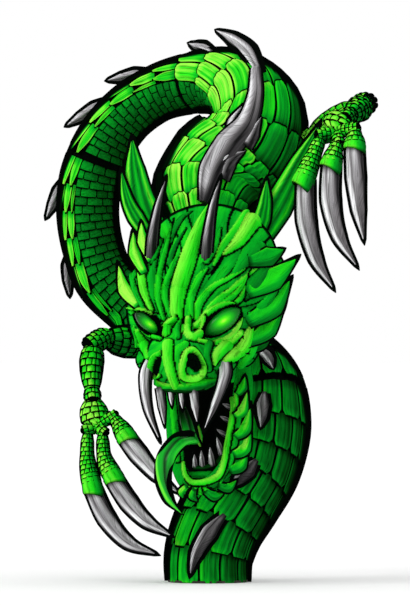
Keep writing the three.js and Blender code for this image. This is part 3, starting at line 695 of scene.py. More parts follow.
def sweep(shape, points, sizes, paint, up=TOWARDS_VIEWER, steps=26, sides=24, flutes=0, depth=0.1,
          groove=0.0):
    """A solid swept through points with [half width, half thickness] at even places, with flutes along it
    and a groove down its upper side."""
    t = np.linspace(0, 1, steps + 1)
    centre, tangent = spline(points, t)
    size = np.maximum(shares(sizes, t), THINNEST)
    side, high = axes_across(tangent, up)
    angle = circle(sides)
    wave = 1 + depth * np.cos(flutes * angle) if flutes else np.ones(sides)
    dip = groove * np.exp(-((np.sin(angle) / GROOVE_WIDTH) ** 2)) * (np.cos(angle) > 0)
    rings = rings_round(centre, side, high, size, np.sin(angle) * wave, np.cos(angle) * wave - dip)
    normal = unit(high[:, None] * np.cos(angle)[:, None] * size[:, None, 0:1]
                  + side[:, None] * np.sin(angle)[:, None] * size[:, None, 1:2])
    tt, aa = np.meshgrid(t, angle, indexing="ij")
    length = np.linalg.norm(np.diff(centre, axis=0), axis=1).sum()
    seed = RANDOM.uniform(0, 900)
    grains = np.stack([aa * size[:, 0:1], tt * length, np.full_like(tt, seed)], -1)
    faces = lattice(steps + 1, sides, wrap=True) + caps(steps + 1, sides)
    shape.add(rings, faces, paint(tt, aa, normal), grains)


BACKING_SPREAD = 1.3  # scales every black margin


def backing(shape, points, widths, margin=6, thick=2.0, past=7, steps=24):
    """A flat black edge behind a pointed piece, wider than it all round."""
    t = np.linspace(0, 1, steps + 1)
    centre, tangent = spline(points, t)
    width = shares(widths, t) + margin * BACKING_SPREAD
    centre = np.vstack([centre, centre[-1] + tangent[-1] * past])
    tangent = np.vstack([tangent, tangent[-1:]])
    width = np.append(width, 1.0)
    width[-2] = max(width[-2] * 0.8, 2.5)
    flank = unit(np.cross(tangent, TOWARDS_VIEWER))
    ribbon(shape, centre - flank * width[:, None], centre + flank * width[:, None], thick)


def horn_paint(light=0.5):
    def paint(t, angle, normal):
        groove = step(-0.8, -1.0, np.cos(5 * angle + 3 * t))
        # A painted highlight on the side turned to the light.
        level = light - 0.34 + 0.74 * step(0.45, 1.0, sunny(normal))
        level = level + 0.16 * np.cos(4 * angle + 5 * t) - 0.3 * groove
        # Darker towards the root, as painted shade where the piece meets the form it grows from.
        return greys(level * (1 - 0.75 * step(0.12, 0.0, t)))

    return paint


def leaf_paint(low, high):
    def paint(t, angle, normal):
        # From low in painted shade to high in painted light, by how far the surface turns to the light.
        level = low + (high - low) * step(0.25, 0.9, sunny(normal)) + 0.06 * np.cos(4 * angle)
        # Darker towards the root, as painted shade where a piece meets the form it grows from.
        return greens(level * (1 - 0.5 * step(0.1, 0.0, t)))

    return paint


FIN_ROOT = -8  # a fin starts this far below the scales
FIN_RISES = [(0.35, 0.2), (0.7, 0.55), (1, 1)]  # share of its length, share of its height


def leaf_path(start, length, height, lean):
    """The centre line of a leaf on the body's back, from a station towards the tail, rising to its tip."""
    base = BODY_TRACK.along(start)
    points = []
    for along, rise in [(0, FIN_ROOT), *((along, height * share) for along, share in FIN_RISES)]:
        centre, _, side, back, width, depth = body_section(BODY_TRACK.at(base - length * along))
        shift = lean * along
        drop = depth * (1 - math.sqrt(max(0, 1 - (shift / width) ** 2)))
        points.append(centre + back * (depth - drop + rise) + side * shift)
    return points, body_section(BODY_TRACK.at(base - length / 2))[3]


# Fins on the back: body, start station, length, height, half width, and how far the tip leans aside.
FINS = {
    "tail_fin_1": ("tail", 2.1, 130, 34, 24, 45),
    "tail_fin_2": ("tail", 3.75, 108, 32, 22, 24),
    "tail_fin_3": ("tail", 5.55, 107, 32, 20, 8),
    "chest_fin": ("chest", 6.6, 66, 32, 18, -18),
    "loop_fin_1": ("loop", 13.05, 78, 40, 15, 0),
    "loop_fin_2": ("loop", 14.85, 88, 44, 15, 0),
    "arch_fin_1": ("arch", 16.9, 96, 46, 16, 0),
    "arch_fin_2": ("arch", 18.0, 84, 40, 16, 0),
    "neck_fin": ("neck", 19.72, 66, 32, 16, 0),
    "crown_fin": ("neck", 21.35, 135, 46, 24, 0),
}
FIN_LIGHT = {"tail": 0.34, "chest": 0.36}  # the fins low on the body are painted darker, as shade, the others at 0.5


def fin(shape, black, light, start, length, height, half, lean):
    points, up = leaf_path(start, length, height, lean)
    sizes = [[half * 0.3, 5], [half * 0.85, height * 0.26], [half * 0.6, height * 0.24], [0, 0]]
    sweep(shape, points, sizes, horn_paint(light), up=up, flutes=7, depth=0.12, sides=42)
    backing(black, points, [half * 0.4, half * 0.85, half * 0.65, 0], margin=6, thick=1.6)


for name, (body, *numbers) in FINS.items():
    leaf, black = Shape(), Shape()
    fin(leaf, black, FIN_LIGHT.get(body, 0.5), *numbers)
    leaf.build(f"{name}_leaf", HORN_CLOTH, "horn_cloth", body, [name])
    black.build(f"{name}_edge", BLACK_CLOTH, "scale_cloth", body)

# The ridge down the neck, as seen from the front: x and z along it, half widths. It lies on the scales.
RIDGE_PATH = [(-12, 948), (10, 1026), (52, 1092), (97, 1148), (118, 1216), (120, 1286)]
RIDGE_WIDTHS = [10, 30, 33, 24, 17, 11]
RIDGE_LEAVES = [
    ([(30, 1010), (52, 1050), (92, 1076)], [22, 20, 0]),
    ([(92, 1090), (112, 1120), (132, 1160)], [18, 15, 0]),
    ([(60, 1110), (62, 1150), (92, 1196)], [14, 12, 0]),
]
RIDGE_RISE = 9
NECK_ROOT = 19.2  # the station where the front of the neck starts
IN_FRONT = -900  # rays towards the kite start at this Y


def neck_front():
    """The neck a little under its full size, to lay things on."""
    t, a = np.meshgrid(np.linspace(NECK_ROOT, LAST_STATION, 80), circle(64), indexing="ij")
    points, _ = on_surface(body_section, t, a, -6)
    return BVHTree.FromPolygons(points.reshape(-1, 3).tolist(), lattice(80, 64, wrap=True))


def front_of(tree, x, z, beside):
    """A form's front at x and z, or its nearest point to that place at the Y beside it."""
    hit = tree.ray_cast(Vector((x, IN_FRONT, z)), Vector((0, 1, 0)))[0]
    return hit or tree.find_nearest(Vector((x, beside, z)))[0]


def laid_on(tree, path, rise):
    """Points at the x and z of a path, in front of a form by the rise."""
    return [np.array([x, front_of(tree, x, z, -200)[1] - rise, z]) for x, z in path]


def neck_ridge():
    tree, leaf, black = neck_front(), Shape(), Shape()
    for path, widths in [*RIDGE_LEAVES, (RIDGE_PATH, RIDGE_WIDTHS)]:
        rise = RIDGE_RISE if widths is RIDGE_WIDTHS else RIDGE_RISE * 0.5
        points = laid_on(tree, path, rise)
        sizes = [[w, 7 + w * 0.2] for w in widths]
        sweep(leaf, points, sizes, horn_paint(0.48), steps=60, sides=44, flutes=8, depth=0.14)
        backing(black, points, widths, margin=5, past=6, steps=50)
    leaf.build("neck_ridge_leaves", HORN_CLOTH, "horn_cloth", "neck", ["neck_ridge"])
    black.build("neck_ridge_edge", BLACK_CLOTH, "scale_cloth", "neck")


neck_ridge()

# ---- Forms that are remeshed, cut and worked over -----------------------------------------------


def ellipsoid(centre, radii, tilt=0.0, sides=48, down=30, shape=None):
    """Points and faces of a closed ellipsoid, tilted in the plane of the view."""
    d, a = np.meshgrid(np.linspace(0.03, np.pi - 0.03, down), circle(sides), indexing="ij")
    ball = np.stack([np.sin(d) * np.cos(a), np.sin(d) * np.sin(a), np.cos(d)], -1).reshape(-1, 3)
    if shape:
        ball = shape(ball)
    x, y, z = (ball * radii).T
    c, s = math.cos(tilt), math.sin(tilt)
    points = np.stack([x * c + z * s, y, z * c - x * s], -1)
    return points + centre, lattice(down, sides, wrap=True) + caps(down, sides)


def tube(points, sizes, up, grow=0.0, steps=40, sides=20):
    """Points and faces of a closed sweep with [half width, half thickness] at even places."""
    t = np.linspace(0, 1, steps + 1)
    centre, tangent = spline(points, t)
    size = shares(sizes, t) + grow
    centre[0] -= tangent[0] * grow
    centre[-1] += tangent[-1] * grow
    angle = circle(sides)
    rings = rings_round(centre, *axes_across(tangent, up), size, np.sin(angle), np.cos(angle))
    return rings.reshape(-1, 3), lattice(steps + 1, sides, wrap=True) + caps(steps + 1, sides)


def rough_object(name, parts):
    """An object of closed parts, which may overlap."""
    shape = Shape()
    for points, faces in parts:
        shape.add(points, faces, INK)
    mesh = bpy.data.meshes.new(name)
    mesh.from_pydata(metres(np.vstack(shape.points)).tolist(), [], shape.faces)
    obj = bpy.data.objects.new(name, mesh)
    bpy.context.scene.collection.objects.link(obj)
    return obj


def voxels(obj, size):
    remesh = obj.modifiers.new("voxels", "REMESH")
    remesh.mode = "VOXEL"
    remesh.voxel_size = size / 1000


def settled(obj):
    """Applies all modifiers of an object."""
    evaluated = obj.evaluated_get(bpy.context.evaluated_depsgraph_get())
    mesh = bpy.data.meshes.new_from_object(evaluated)
    obj.modifiers.clear()
    obj.data = mesh
    return obj


def joined_form(name, parts, cut_parts=(), size=3.0, smooth=6):
    """One closed skin round overlapping parts, less the parts that are cut out of it."""
    form = rough_object(name, parts)
    voxels(form, size)
    if cut_parts:
        cutter = rough_object("cutter", cut_parts)
        voxels(cutter, size)
        settled(cutter)
        cut = form.modifiers.new("cut", "BOOLEAN")
        cut.operation = "DIFFERENCE"
        cut.object = cutter
        cut.solver = "EXACT"
        voxels(form, size)
    soften = form.modifiers.new("soften", "SMOOTH")
    soften.factor = 0.5
    soften.iterations = smooth
    settled(form)
    if cut_parts:
        bpy.data.objects.remove(cutter)
    return form


class Sculpture:
    """A form with strokes laid on it as seen from the front: raised ridges of one dye, with painted light
    across them, and black painted as shade along their shaded side.
    """

    EDGE = 4.6  # width of the black painted as shade beside a stroke
    SHADY = 0.34  # the painted shade is left out on the side that is lit more than this

    def __init__(self, form, base):
        self.form, mesh = form, form.data
        flat = np.empty(len(mesh.vertices) * 3)
        mesh.vertices.foreach_get("co", flat)
        self.points = flat.reshape(-1, 3) * 1000 - [0, STANCE, 0]
        mesh.vertices.foreach_get("normal", flat)
        self.normals = flat.reshape(-1, 3).copy()
        self.front = BVHTree.FromPolygons(self.points.tolist(), [tuple(f.vertices) for f in mesh.polygons])
        self.lift = np.zeros(len(self.points))
        self.colours, self.grains = base(self.points, self.normals)

    def touch(self, x, z):
        """The form's front at x and z, or its nearest point where the form is narrower."""
        return front_of(self.front, x, z, -330)

    def stroke(self, path, radii, height, level, dye_and_shade=greens):
        route = np.array([[x, 0, z] for x, z in path], float)
        length = np.linalg.norm(np.diff(route, axis=0), axis=1).sum()
        t = np.linspace(0, 1, max(3, int(length / 2.5)))
        places, radius = spline(route, t)[0], shares(radii, t)
        route = np.array([self.touch(x, z) for x, _, z in places])
        reach = radius.max() + self.EDGE
        near = np.all((self.points > route.min(0) - reach) & (self.points < route.max(0) + reach), axis=1)
        near = np.flatnonzero(near & (self.normals @ TOWARDS_VIEWER > -0.2))
        if not len(near):
            return
        gap = self.points[near][:, None] - route[None]
        beyond = np.linalg.norm(gap, axis=-1) - radius
        closest = beyond.argmin(1)
        edge = beyond[np.arange(len(near)), closest]
        wide = radius[closest]
        across = gap[np.arange(len(near)), closest] / wide[:, None]
        inside = edge < 0
        share = np.clip(1 + edge / wide, 0, 1)
        # Painted light across the stroke: lighter on the side turned to the light.
        lit = across @ SUNNY_SIDE
        picked = near[inside]
        self.lift[picked] = (height * (1 - share**2) ** 1.1)[inside]
        self.colours[picked] = dye_and_shade(level + 0.16 * lit)[inside]
        flank = across[:, 0] * wide
        mm = t[closest] * length
        seed = np.full(len(near), RANDOM.uniform(0, 900))
        self.grains[picked] = np.stack([flank, mm, seed], -1)[inside]
        # Black painted as shade beside the stroke, on its shaded side only.
        shaded = (edge > -0.8) & (edge < self.EDGE) & (lit < self.SHADY)
        self.lift[near[shaded]] = -1.2
        self.colours[near[shaded]] = INK

    def pit(self, path, radii, depth):
        """A hollow along a path, painted dark as its shade."""
        self.stroke(path, radii, -depth, -1.0)

    def blacken(self, where):
        self.colours[where] = INK

    def finish(self, material, body, replaces):
        moved = self.points + self.normals * self.lift[:, None]
        mesh = self.form.data
        mesh.vertices.foreach_set("co", metres(moved).ravel())
        mesh.update()
        put_paint(mesh, self.colours, self.grains)
        mesh.shade_smooth()
        return placed(self.form, material, body, replaces)


def leaves(name, body, tree, rows, tip_back=24, edge=4.5):
    """Pointed leaves that start on a form, seen from the front, and stand off it at the tip."""
    leaf, black = Shape(), Shape()
    for path, width, level in rows:
        root, bend, tip = laid_on(tree, path, 4)
        bend[1] = min(bend[1], root[1] + tip_back)
        tip[1] = min(tip[1], bend[1] + tip_back)
        points, widths = [root, bend, tip], [width * 0.55, width, 0]
        paint = leaf_paint(level - 0.24, level + 0.2)
        sizes = [[width * 0.55, 5], [width, 7], [0, 0]]
        sweep(leaf, points, sizes, paint, steps=26, sides=32, flutes=5, depth=0.09)
        backing(black, points, widths, margin=edge, past=6)
    leaf.build(name, HEAD_CLOTH, "head_cloth", body)
    black.build(f"{name}_edge", BLACK_CLOTH, "head_cloth", body)


# ---- Head ---------------------------------------------------------------------------------------

SKULL_LOBES = [
    ([5, -275, 800], [170, 150, 145]),
    ([110, -270, 735], [92, 112, 128]),
    ([84, -300, 612], [50, 80, 76]),
    ([-132, -285, 690], [72, 105, 128]),
    ([-30, -335, 665], [150, 95, 92]),
    ([-72, -405, 565], [82, 98, 78]),
    ([-52, -365, 560], [128, 98, 66]),
]
THROAT = ([0, -250, 530], [104, 120, 110])
NAPE_CLEARANCE = 15
JAW_AXIS = np.array([0, -200, 600])
JAW_ROOM = 8  # round the jaw's bow, where it passes into the head
JAW_TURN = math.radians(9)
JAW_UP = (0, -0.55, -0.3)
JAW_BOW = [
    [90, -200, 600], [88, -248, 490], [76, -290, 395], [50, -332, 300], [-4, -362, 250], [-50, -364, 252],
    [-76, -336, 314], [-88, -276, 420], [-92, -200, 600],
]
JAW_BOW_SIZES = [[width, 12] for width in (11, 26, 26, 24, 20, 20, 20, 18, 11)]


def turned_about_jaw(points, angle):
    """Points turned about the jaw's axis; a positive angle closes the jaw."""
    x, y, z = (points - JAW_AXIS).T
    c, s = math.cos(angle), math.sin(angle)
    return np.stack([x, y * c + z * s, z * c - y * s], -1) + JAW_AXIS


def nape_room():
    """The room that the neck's end needs in the back of the head."""
    t, a = np.meshgrid(np.linspace(LAST_STATION - 2, LAST_STATION, 7), circle(32), indexing="ij")
    rings, _ = on_surface(body_section, t, a, NAPE_CLEARANCE)
    beyond = rings[-1:] + body_section(LAST_STATION)[1] * NAPE_CLEARANCE
    rings = np.concatenate([rings, beyond])
    return rings.reshape(-1, 3), lattice(len(rings), 32, wrap=True) + caps(len(rings), 32)


def jaw_room():
    bow, faces = tube(JAW_BOW, JAW_BOW_SIZES, JAW_UP, grow=JAW_ROOM)
    return [(turned_about_jaw(bow, -angle), faces) for angle in (0, JAW_TURN)]


def deep_inside_lobes(points):
    lobes = [(np.array(centre), np.array(radii)) for centre, radii in SKULL_LOBES]
    depths = [(np.linalg.norm((points - c) / r, axis=1) - 1) * min(r) for c, r in lobes]
    return np.min(depths, axis=0) < -5


BROW = np.array([-60, -400, 640])  # the creases of the head run out from here


def head_base(points, normals):
    x, _, z = (points - BROW).T
    radial = np.arctan2(x, z)
    distance = np.hypot(x, z)
    crease = 0.5 + 0.5 * np.cos(radial * 34 + 2.2 * np.sin(distance / 38))
    # Painted light by how far the surface turns to the light, over a pattern of creases and waves.
    level = 0.42 + 0.24 * sunny(normals) + 0.1 * (crease - 0.5) + 0.06 * np.sin(distance / 26 + radial * 3)
    colours = greens(level * (1 - edging(normals, 0.34)))
    colours[(crease < 0.05) & (distance > 130)] = INK
    # The surfaces inside the throat, nape and jaw openings are painted black, as the shade inside them.
    colours[deep_inside_lobes(points)] = INK
    grains = np.stack([radial * 120, distance, np.zeros_like(x)], -1)
    return colours, grains


# Strokes of the head as seen from the front: x and z along a path, half widths, height, level of dye.
# The paths of HEAD_STROKES and NOSTRILS, and six of JAW_STROKES, weren't typed in millimetres: points
# chosen by eye on the picture were turned into millimetres by a separate program.
HEAD_STROKES = [
    ([(-103, 726), (-113, 792), (-96, 853), (-69, 903), (-42, 923)], [4, 9, 11, 8, 2], 4, 0.52),
    ([(-69, 772), (-93, 792), (-82, 836), (-56, 880)], [3, 7, 6, 2], 3, 0.45),
    ([(-16, 792), (-2, 779), (31, 819), (65, 870)], [4, 9, 9, 3], 4, 0.48),
    ([(68, 772), (108, 823), (135, 836)], [10, 26, 14], 4, 0.5),
    ([(92, 712), (122, 746), (155, 792)], [8, 18, 8], 4, 0.42),
    ([(102, 672), (142, 695), (172, 749), (180, 792)], [8, 14, 12, 3], 6, 0.5),
    ([(112, 642), (145, 652), (175, 685), (192, 726)], [8, 12, 10, 3], 6, 0.5),
    ([(-119, 645), (-160, 679), (-193, 712), (-206, 749), (-220, 779)], [4, 8, 10, 8, 2], 7, 0.8),
    ([(-160, 685), (-180, 726), (-191, 772), (-195, 819)], [5, 9, 9, 3], 6, 0.62),
    ([(-139, 679), (-160, 732), (-166, 792), (-160, 846), (-154, 880)], [5, 11, 13, 9, 1], 8, 0.85),
    ([(-123, 679), (-136, 726), (-136, 779), (-123, 819)], [5, 9, 10, 3], 6, 0.55),
    ([(-109, 659), (-123, 712), (-119, 772), (-103, 833), (-86, 906)], [5, 8, 8, 6, 1], 7, 0.7),
    ([(-93, 665), (-106, 712), (-103, 746), (-82, 799), (-66, 823)], [4, 9, 9, 6, 1], 7, 0.68),
    ([(-66, 628), (-77, 679), (-72, 732), (-54, 792), (-36, 846), (-14, 903), (6, 941)],
     [7, 16, 21, 22, 19, 12, 1], 13, 0.84),
    ([(-39, 659), (-42, 705), (-22, 759), (-2, 782)], [5, 9, 9, 2], 7, 0.7),
    ([(-26, 659), (-22, 695), (11, 736), (51, 759), (92, 782)], [6, 10, 8, 6, 1], 7, 0.72),
    ([(-9, 669), (15, 695), (51, 726), (92, 762), (125, 786)], [6, 9, 8, 6, 1], 7, 0.75),
    ([(25, 689), (58, 712), (82, 739), (98, 772)], [5, 8, 7, 1], 6, 0.7),
    ([(61, 692), (82, 712), (92, 746)], [5, 7, 1], 6, 0.72),
    ([(-139, 799), (-126, 823), (-113, 853)], [6, 6, 2], 4, 0.6),
    ([(-2, 799), (18, 833), (31, 880)], [6, 6, 2], 4, 0.6),
    ([(15, 792), (38, 839), (72, 883), (102, 930), (128, 973)], [4, 9, 11, 11, 9], 8, 0.74),
    ([(41, 819), (78, 853), (112, 903), (142, 930), (172, 960)], [5, 16, 22, 20, 14], 9, 0.86),
    ([(-113, 642), (-143, 669), (-170, 682), (-195, 685)], [5, 7, 6, 3], 9, 0.85),
    ([(-82, 659), (-99, 642), (-103, 622)], [8, 12, 11], 12, 0.8),
    ([(-69, 652), (-77, 632), (-74, 615)], [5, 8, 7], 10, 0.62),
    ([(-29, 642), (-5, 669), (21, 687), (55, 695), (78, 682)], [8, 8, 7, 6, 3], 10, 0.8),
    ([(-49, 659), (-51, 625), (-36, 613), (-17, 628), (-11, 662)], [7, 10, 12, 10, 6], 13, 0.84),
    ([(-22, 605), (15, 600), (51, 615), (75, 642), (82, 669)], [5, 8, 8, 6, 3], 8, 0.85),
    ([(-185, 679), (-173, 649), (-149, 622), (-116, 610)], [3, 6, 8, 5], 7, 0.75),
    ([(-182, 636), (-176, 607), (-176, 578)], [6, 8, 3], 6, 0.72),
    ([(-173, 626), (-160, 598), (-147, 563)], [8, 15, 6], 9, 0.78),
    ([(79, 623), (50, 598), (25, 572), (15, 547)], [10, 16, 14, 5], 9, 0.82),
    ([(105, 636), (92, 591), (66, 569), (41, 556)], [9, 18, 16, 6], 10, 0.84),
    ([(127, 636), (111, 582), (92, 553), (66, 527)], [9, 13, 12, 5], 8, 0.62),
    ([(3, 601), (-4, 572), (3, 534)], [10, 12, 8], 5, 0.5),
    ([(-55, 598), (-77, 578), (-80, 547), (-67, 515), (-55, 496)], [9, 12, 12, 9, 3], 9, 0.72),
    ([(-99, 598), (-99, 566), (-93, 534), (-85, 508), (-77, 486)], [15, 14, 13, 12, 10], 12, 0.85),
    ([(-131, 496), (-118, 486), (-99, 481)], [10, 14, 10], 8, 0.7),
    ([(-74, 483), (-48, 486), (-23, 496), (-4, 508)], [7, 10, 11, 8], 8, 0.78),
    ([(-118, 575), (-134, 563), (-141, 537), (-134, 518), (-120, 521)], [6, 8, 9, 9, 6], 10, 0.82),
    ([(-52, 578), (-61, 553), (-64, 527), (-55, 515), (-29, 515), (-13, 531), (-20, 559), (-36, 582),
      (-48, 580)], [8, 9, 9, 10, 12, 12, 11, 9, 8], 11, 0.84),
]
# Hollows painted dark as shade: x and z along a path, half widths.
NOSTRILS = [
    ([(-123, 559), (-128, 543), (-130, 527)], [8, 9, 7]),
    ([(-44, 566), (-36, 556), (-26, 540)], [9, 13, 10]),
    ([(-36, 547), (-45, 550)], [8, 6]),
]
# Leaves that stand off the temples and cheeks, seen from the front: x and z of the root, the bend and
# the tip, half width and level of dye.
HEAD_FRILLS = [
    ([(100, 800), (150, 812), (190, 832)], 22, 0.62),
    ([(96, 724), (160, 758), (226, 815)], 27, 0.66),
    ([(96, 650), (160, 690), (208, 764)], 25, 0.58),
    ([(92, 600), (148, 634), (196, 722)], 21, 0.64),
    ([(88, 584), (132, 602), (178, 676)], 16, 0.54),
    ([(-172, 690), (-205, 730), (-224, 800)], 15, 0.8),
    ([(-156, 770), (-180, 820), (-186, 880)], 14, 0.7),
    ([(-140, 800), (-160, 850), (-166, 902)], 13, 0.78),
]

EYES = {  # centre, radii and tilt in the view
    "left_eye": ([-145, -382, 648], [42, 24, 19], 0.62),
    "right_eye": ([33, -410, 652], [55, 26, 25], -0.6),
}
SOCKET = (1.07, 1.2)  # size of the black round an eye, along it and up it, in the eye's own size
SOCKET_DEPTH = 40
# Painted glow of an eye: lightest near its middle, darkening to its rim.
EYE_PAINTED_GLOW = [(190, 255, 70), (80, 245, 20), (24, 190, 24), (8, 130, 26), (4, 84, 20), (2, 16, 5)]


def eye_place(points, centre, radii, tilt):
    """How far points lie from an eye's centre, along it and up it, in its own half sizes."""
    x, _, z = (points - centre).T
    along = (x * math.cos(tilt) - z * math.sin(tilt)) / radii[0]
    return along, (x * math.sin(tilt) + z * math.cos(tilt)) / radii[2]


def head():
    lobes = [ellipsoid(centre, radii) for centre, radii in SKULL_LOBES]
    form = joined_form("head_shell", lobes, [ellipsoid(*THROAT), nape_room(), *jaw_room()])
    face = Sculpture(form, head_base)
    for path, radii, height, level in HEAD_STROKES:
        face.stroke(path, radii, height, level)
    for path, radii in NOSTRILS:
        face.pit(path, radii, 9)
    for centre, radii, tilt in EYES.values():
        along, high = eye_place(face.points, centre, radii, tilt)
        near = face.points[:, 1] < centre[1] + SOCKET_DEPTH
        face.blacken((np.hypot(along / SOCKET[0], high / SOCKET[1]) < 1) & near)
    leaves("cheek_frill", "head", face.front, HEAD_FRILLS, tip_back=40)
    return face.finish(HEAD_CLOTH, "head", ["skull"])


head()


# ---- Eyes ---------------------------------------------------------------------------------------

EYE_PLASTIC = painted("eye_plastic_lit", roughness=0.2, specular=0.1, lines=1.0, depth=0.06, weave=0)


def almond(ball):
    """A ball drawn out to a corner at either side."""
    x, y, z = ball.T
    return np.stack([x, y, z * (1 - 0.3 * np.abs(x) ** 3)], -1)


def eye(name, centre, radii, tilt):
    shape = Shape()
    points, faces = ellipsoid(centre, radii, tilt, 72, 52, almond)
    along, high = eye_place(points, centre, radii, tilt)
    # A painted glow and highlight: lightest a little off the eye's centre, darkest at its rim.
    out = np.hypot(along - 0.1, high * 0.9 + 0.05)
    shape.add(points, faces, ramp(EYE_PAINTED_GLOW, out**0.9 * 0.92))
    shape.build(f"{name}_lens", EYE_PLASTIC, "eye_plastic", "head", [name], sharp=80)


for name, place in EYES.items():
    eye(name, *place)

# ---- Horns, fangs and teeth ---------------------------------------------------------------------

HORNS = {
    "left_horn": [[-140, -335, 800], [-136, -385, 860], [-122, -405, 935], [-102, -395, 1010]],
    "right_horn": [[-6, -405, 798], [0, -455, 860], [12, -470, 935], [32, -458, 1010]],
}
FANGS = {
    "left_fang": ([[-132, -420, 572], [-153, -448, 520], [-147, -477, 440], [-116, -490, 356]], 13),
    "right_fang": ([[32, -400, 575], [42, -440, 525], [18, -468, 452], [-12, -470, 382]], 14),
}
GUM_RADIUS = 6.5


def horn(name, points, widths, light, flutes=7):
    grey, black = Shape(), Shape()
    sizes = [[w, w] for w in widths]
    paint = horn_paint(light)
    sweep(grey, points, sizes, paint, up=(1, 0, 0), flutes=flutes, depth=0.09, steps=40, sides=42)
    backing(black, points, widths, margin=4.5, past=6)
    grey.build(f"{name}_sheath", HORN_CLOTH, "horn_cloth", "head", [name])
    black.build(f"{name}_edge", BLACK_CLOTH, "head_cloth", "head")


for name, points in HORNS.items():
    horn(name, points, [13, 12, 7.5, 0], 0.42)
for name, (points, width) in FANGS.items():
    horn(name, points, [width, width, width * 0.65, 0], 0.62, flutes=6)


TEETH_UP = (0, -1, 0.3)


def teeth(name, gum, rows, body):
    """A gum with pointed teeth; each tooth is a root, a tip and a half width."""
    flesh, grey, black = Shape(), Shape(), Shape()
    paint = horn_paint(0.66)
    sweep(flesh, gum, [[GUM_RADIUS, GUM_RADIUS]] * len(gum), leaf_paint(0.0, 0.22), steps=30, sides=14)
    for root, tip, size in rows:
        bend = (np.array(root) + np.array(tip)) / 2 + [0, -3, 0]
        sizes = [[size * 0.75, size * 0.75], [size * 0.62, size * 0.62], [0, 0]]
        sweep(grey, [root, bend, tip], sizes, paint, up=TEETH_UP, steps=14, flutes=5, depth=0.08)
        backing(black, [root, bend, tip], [size * 0.8, size * 0.65, 0], margin=3.2, past=4, steps=10)
    flesh.build(f"{name}_gum", LIMB_CLOTH, "head_cloth", body)
    grey.build(f"{name}_points", HORN_CLOTH, "horn_cloth", body, [name])
    black.build(f"{name}_edge", BLACK_CLOTH, "head_cloth", body)


UPPER_LIP = [[-128, -404, 504], [-100, -432, 496], [-55, -442, 494], [-12, -428, 498], [24, -398, 508]]
UPPER_LIP_SIZES = [[w, w] for w in (9, 14, 15, 14, 6)]


def upper_lip():
    """The folded rim of the snout over the upper gum."""
    shape = Shape()
    paint = leaf_paint(0.34, 0.86)
    sweep(shape, UPPER_LIP, UPPER_LIP_SIZES, paint, up=TEETH_UP, steps=60, sides=30, flutes=4, depth=0.08)
    shape.build("upper_lip", LIMB_CLOTH, "head_cloth", "head")


upper_lip()
teeth(
    "upper_teeth",
    [[-122, -415, 492], [-95, -440, 484], [-55, -446, 482], [-10, -432, 488]],
    [
        ([-118, -425, 490], [-106, -440, 392], 13),
        ([-92, -438, 484], [-88, -446, 440], 8),
        ([-66, -442, 482], [-62, -448, 432], 8),
        ([-36, -438, 484], [-26, -444, 400], 14),
    ],
    "head",
)
teeth(
    "lower_teeth",
    [[62, -262, 442], [54, -288, 392], [44, -310, 345], [26, -330, 306], [-6, -344, 292], [-36, -346, 292]],
    [
        ([60, -270, 436], [32, -278, 450], 9),
        ([54, -284, 404], [26, -292, 420], 9),
        ([46, -300, 368], [18, -308, 388], 9),
        ([34, -320, 322], [20, -326, 372], 10),
        ([10, -340, 296], [4, -342, 348], 10),
        ([-14, -344, 292], [-17, -348, 340], 9),
        ([-32, -346, 292], [-34, -350, 330], 8),
    ],
    "jaw",
)

# ---- Jaw and tongue -----------------------------------------------------------------------------

JAW_FLOOR = ([-2, -308, 274], [64, 46, 15])
# The same numbers as for the strokes of the head. The second and third paths were typed.
JAW_STROKES = [
    ([(70, 489), (76, 432), (70, 384), (60, 336), (54, 304), (28, 253)], [5, 8, 10, 10, 8, 3], 6, 0.62),
    ([(-88, 470), (-84, 420), (-78, 360), (-74, 310)], [7, 9, 9, 5], 5, 0.7),
    ([(-66, 420), (-66, 360), (-62, 310)], [4, 5, 3], 4, 0.5),
    ([(-16, 244), (12, 231), (41, 234)], [5, 9, 4], 6, 0.76),
    ([(-29, 244), (-39, 228), (-45, 218)], [3, 6, 2], 5, 0.7),
    ([(-45, 247), (-58, 237), (-64, 231)], [3, 6, 2], 5, 0.8),
    ([(-20, 241), (-16, 225), (-4, 215)], [3, 6, 2], 5, 0.7),
    ([(49, 505), (62, 451), (57, 400), (47, 349), (39, 304), (25, 272), (-7, 258), (-39, 257), (-56, 276),
      (-61, 304)], [5, 7, 8, 8, 8, 9, 8, 7, 6, 4], 8, 0.84),
]
# Feathered leaves beside the jaw: x and z of the root, the bend and the tip, half width, level of dye.
JAW_FRILLS = [
    ([(72, 470), (86, 488), (92, 520)], 11, 0.6),
    ([(66, 416), (86, 432), (98, 484)], 13, 0.72),
    ([(66, 366), (92, 388), (106, 452)], 14, 0.66),
    ([(62, 322), (90, 340), (106, 404)], 15, 0.74),
    ([(52, 284), (80, 298), (100, 352)], 15, 0.64),
    ([(24, 248), (50, 242), (72, 262)], 11, 0.66),
    ([(-8, 236), (16, 222), (40, 228)], 11, 0.7),
    ([(-34, 240), (-38, 222), (-26, 208)], 9, 0.66),
    ([(-52, 248), (-64, 232), (-62, 216)], 9, 0.74),
]


def jaw_base(points, normals):
    # Painted light by how far the surface turns to the light.
    level = 0.34 + 0.26 * sunny(normals)
    colours = greens(level * (1 - edging(normals, 0.42)))
    return colours, points[:, [0, 2, 1]].copy()


def jaw():
    bow = tube(JAW_BOW, JAW_BOW_SIZES, JAW_UP, steps=60)
    form = joined_form("jaw_shell", [bow, ellipsoid(*JAW_FLOOR)], size=2.6, smooth=4)
    sculpture = Sculpture(form, jaw_base)
    for path, radii, height, level in JAW_STROKES:
        sculpture.stroke(path, radii, height, level)
    leaves("jaw_frill", "jaw", sculpture.front, JAW_FRILLS)
    return sculpture.finish(HEAD_CLOTH, "jaw", ["lower_jaw"])


jaw()

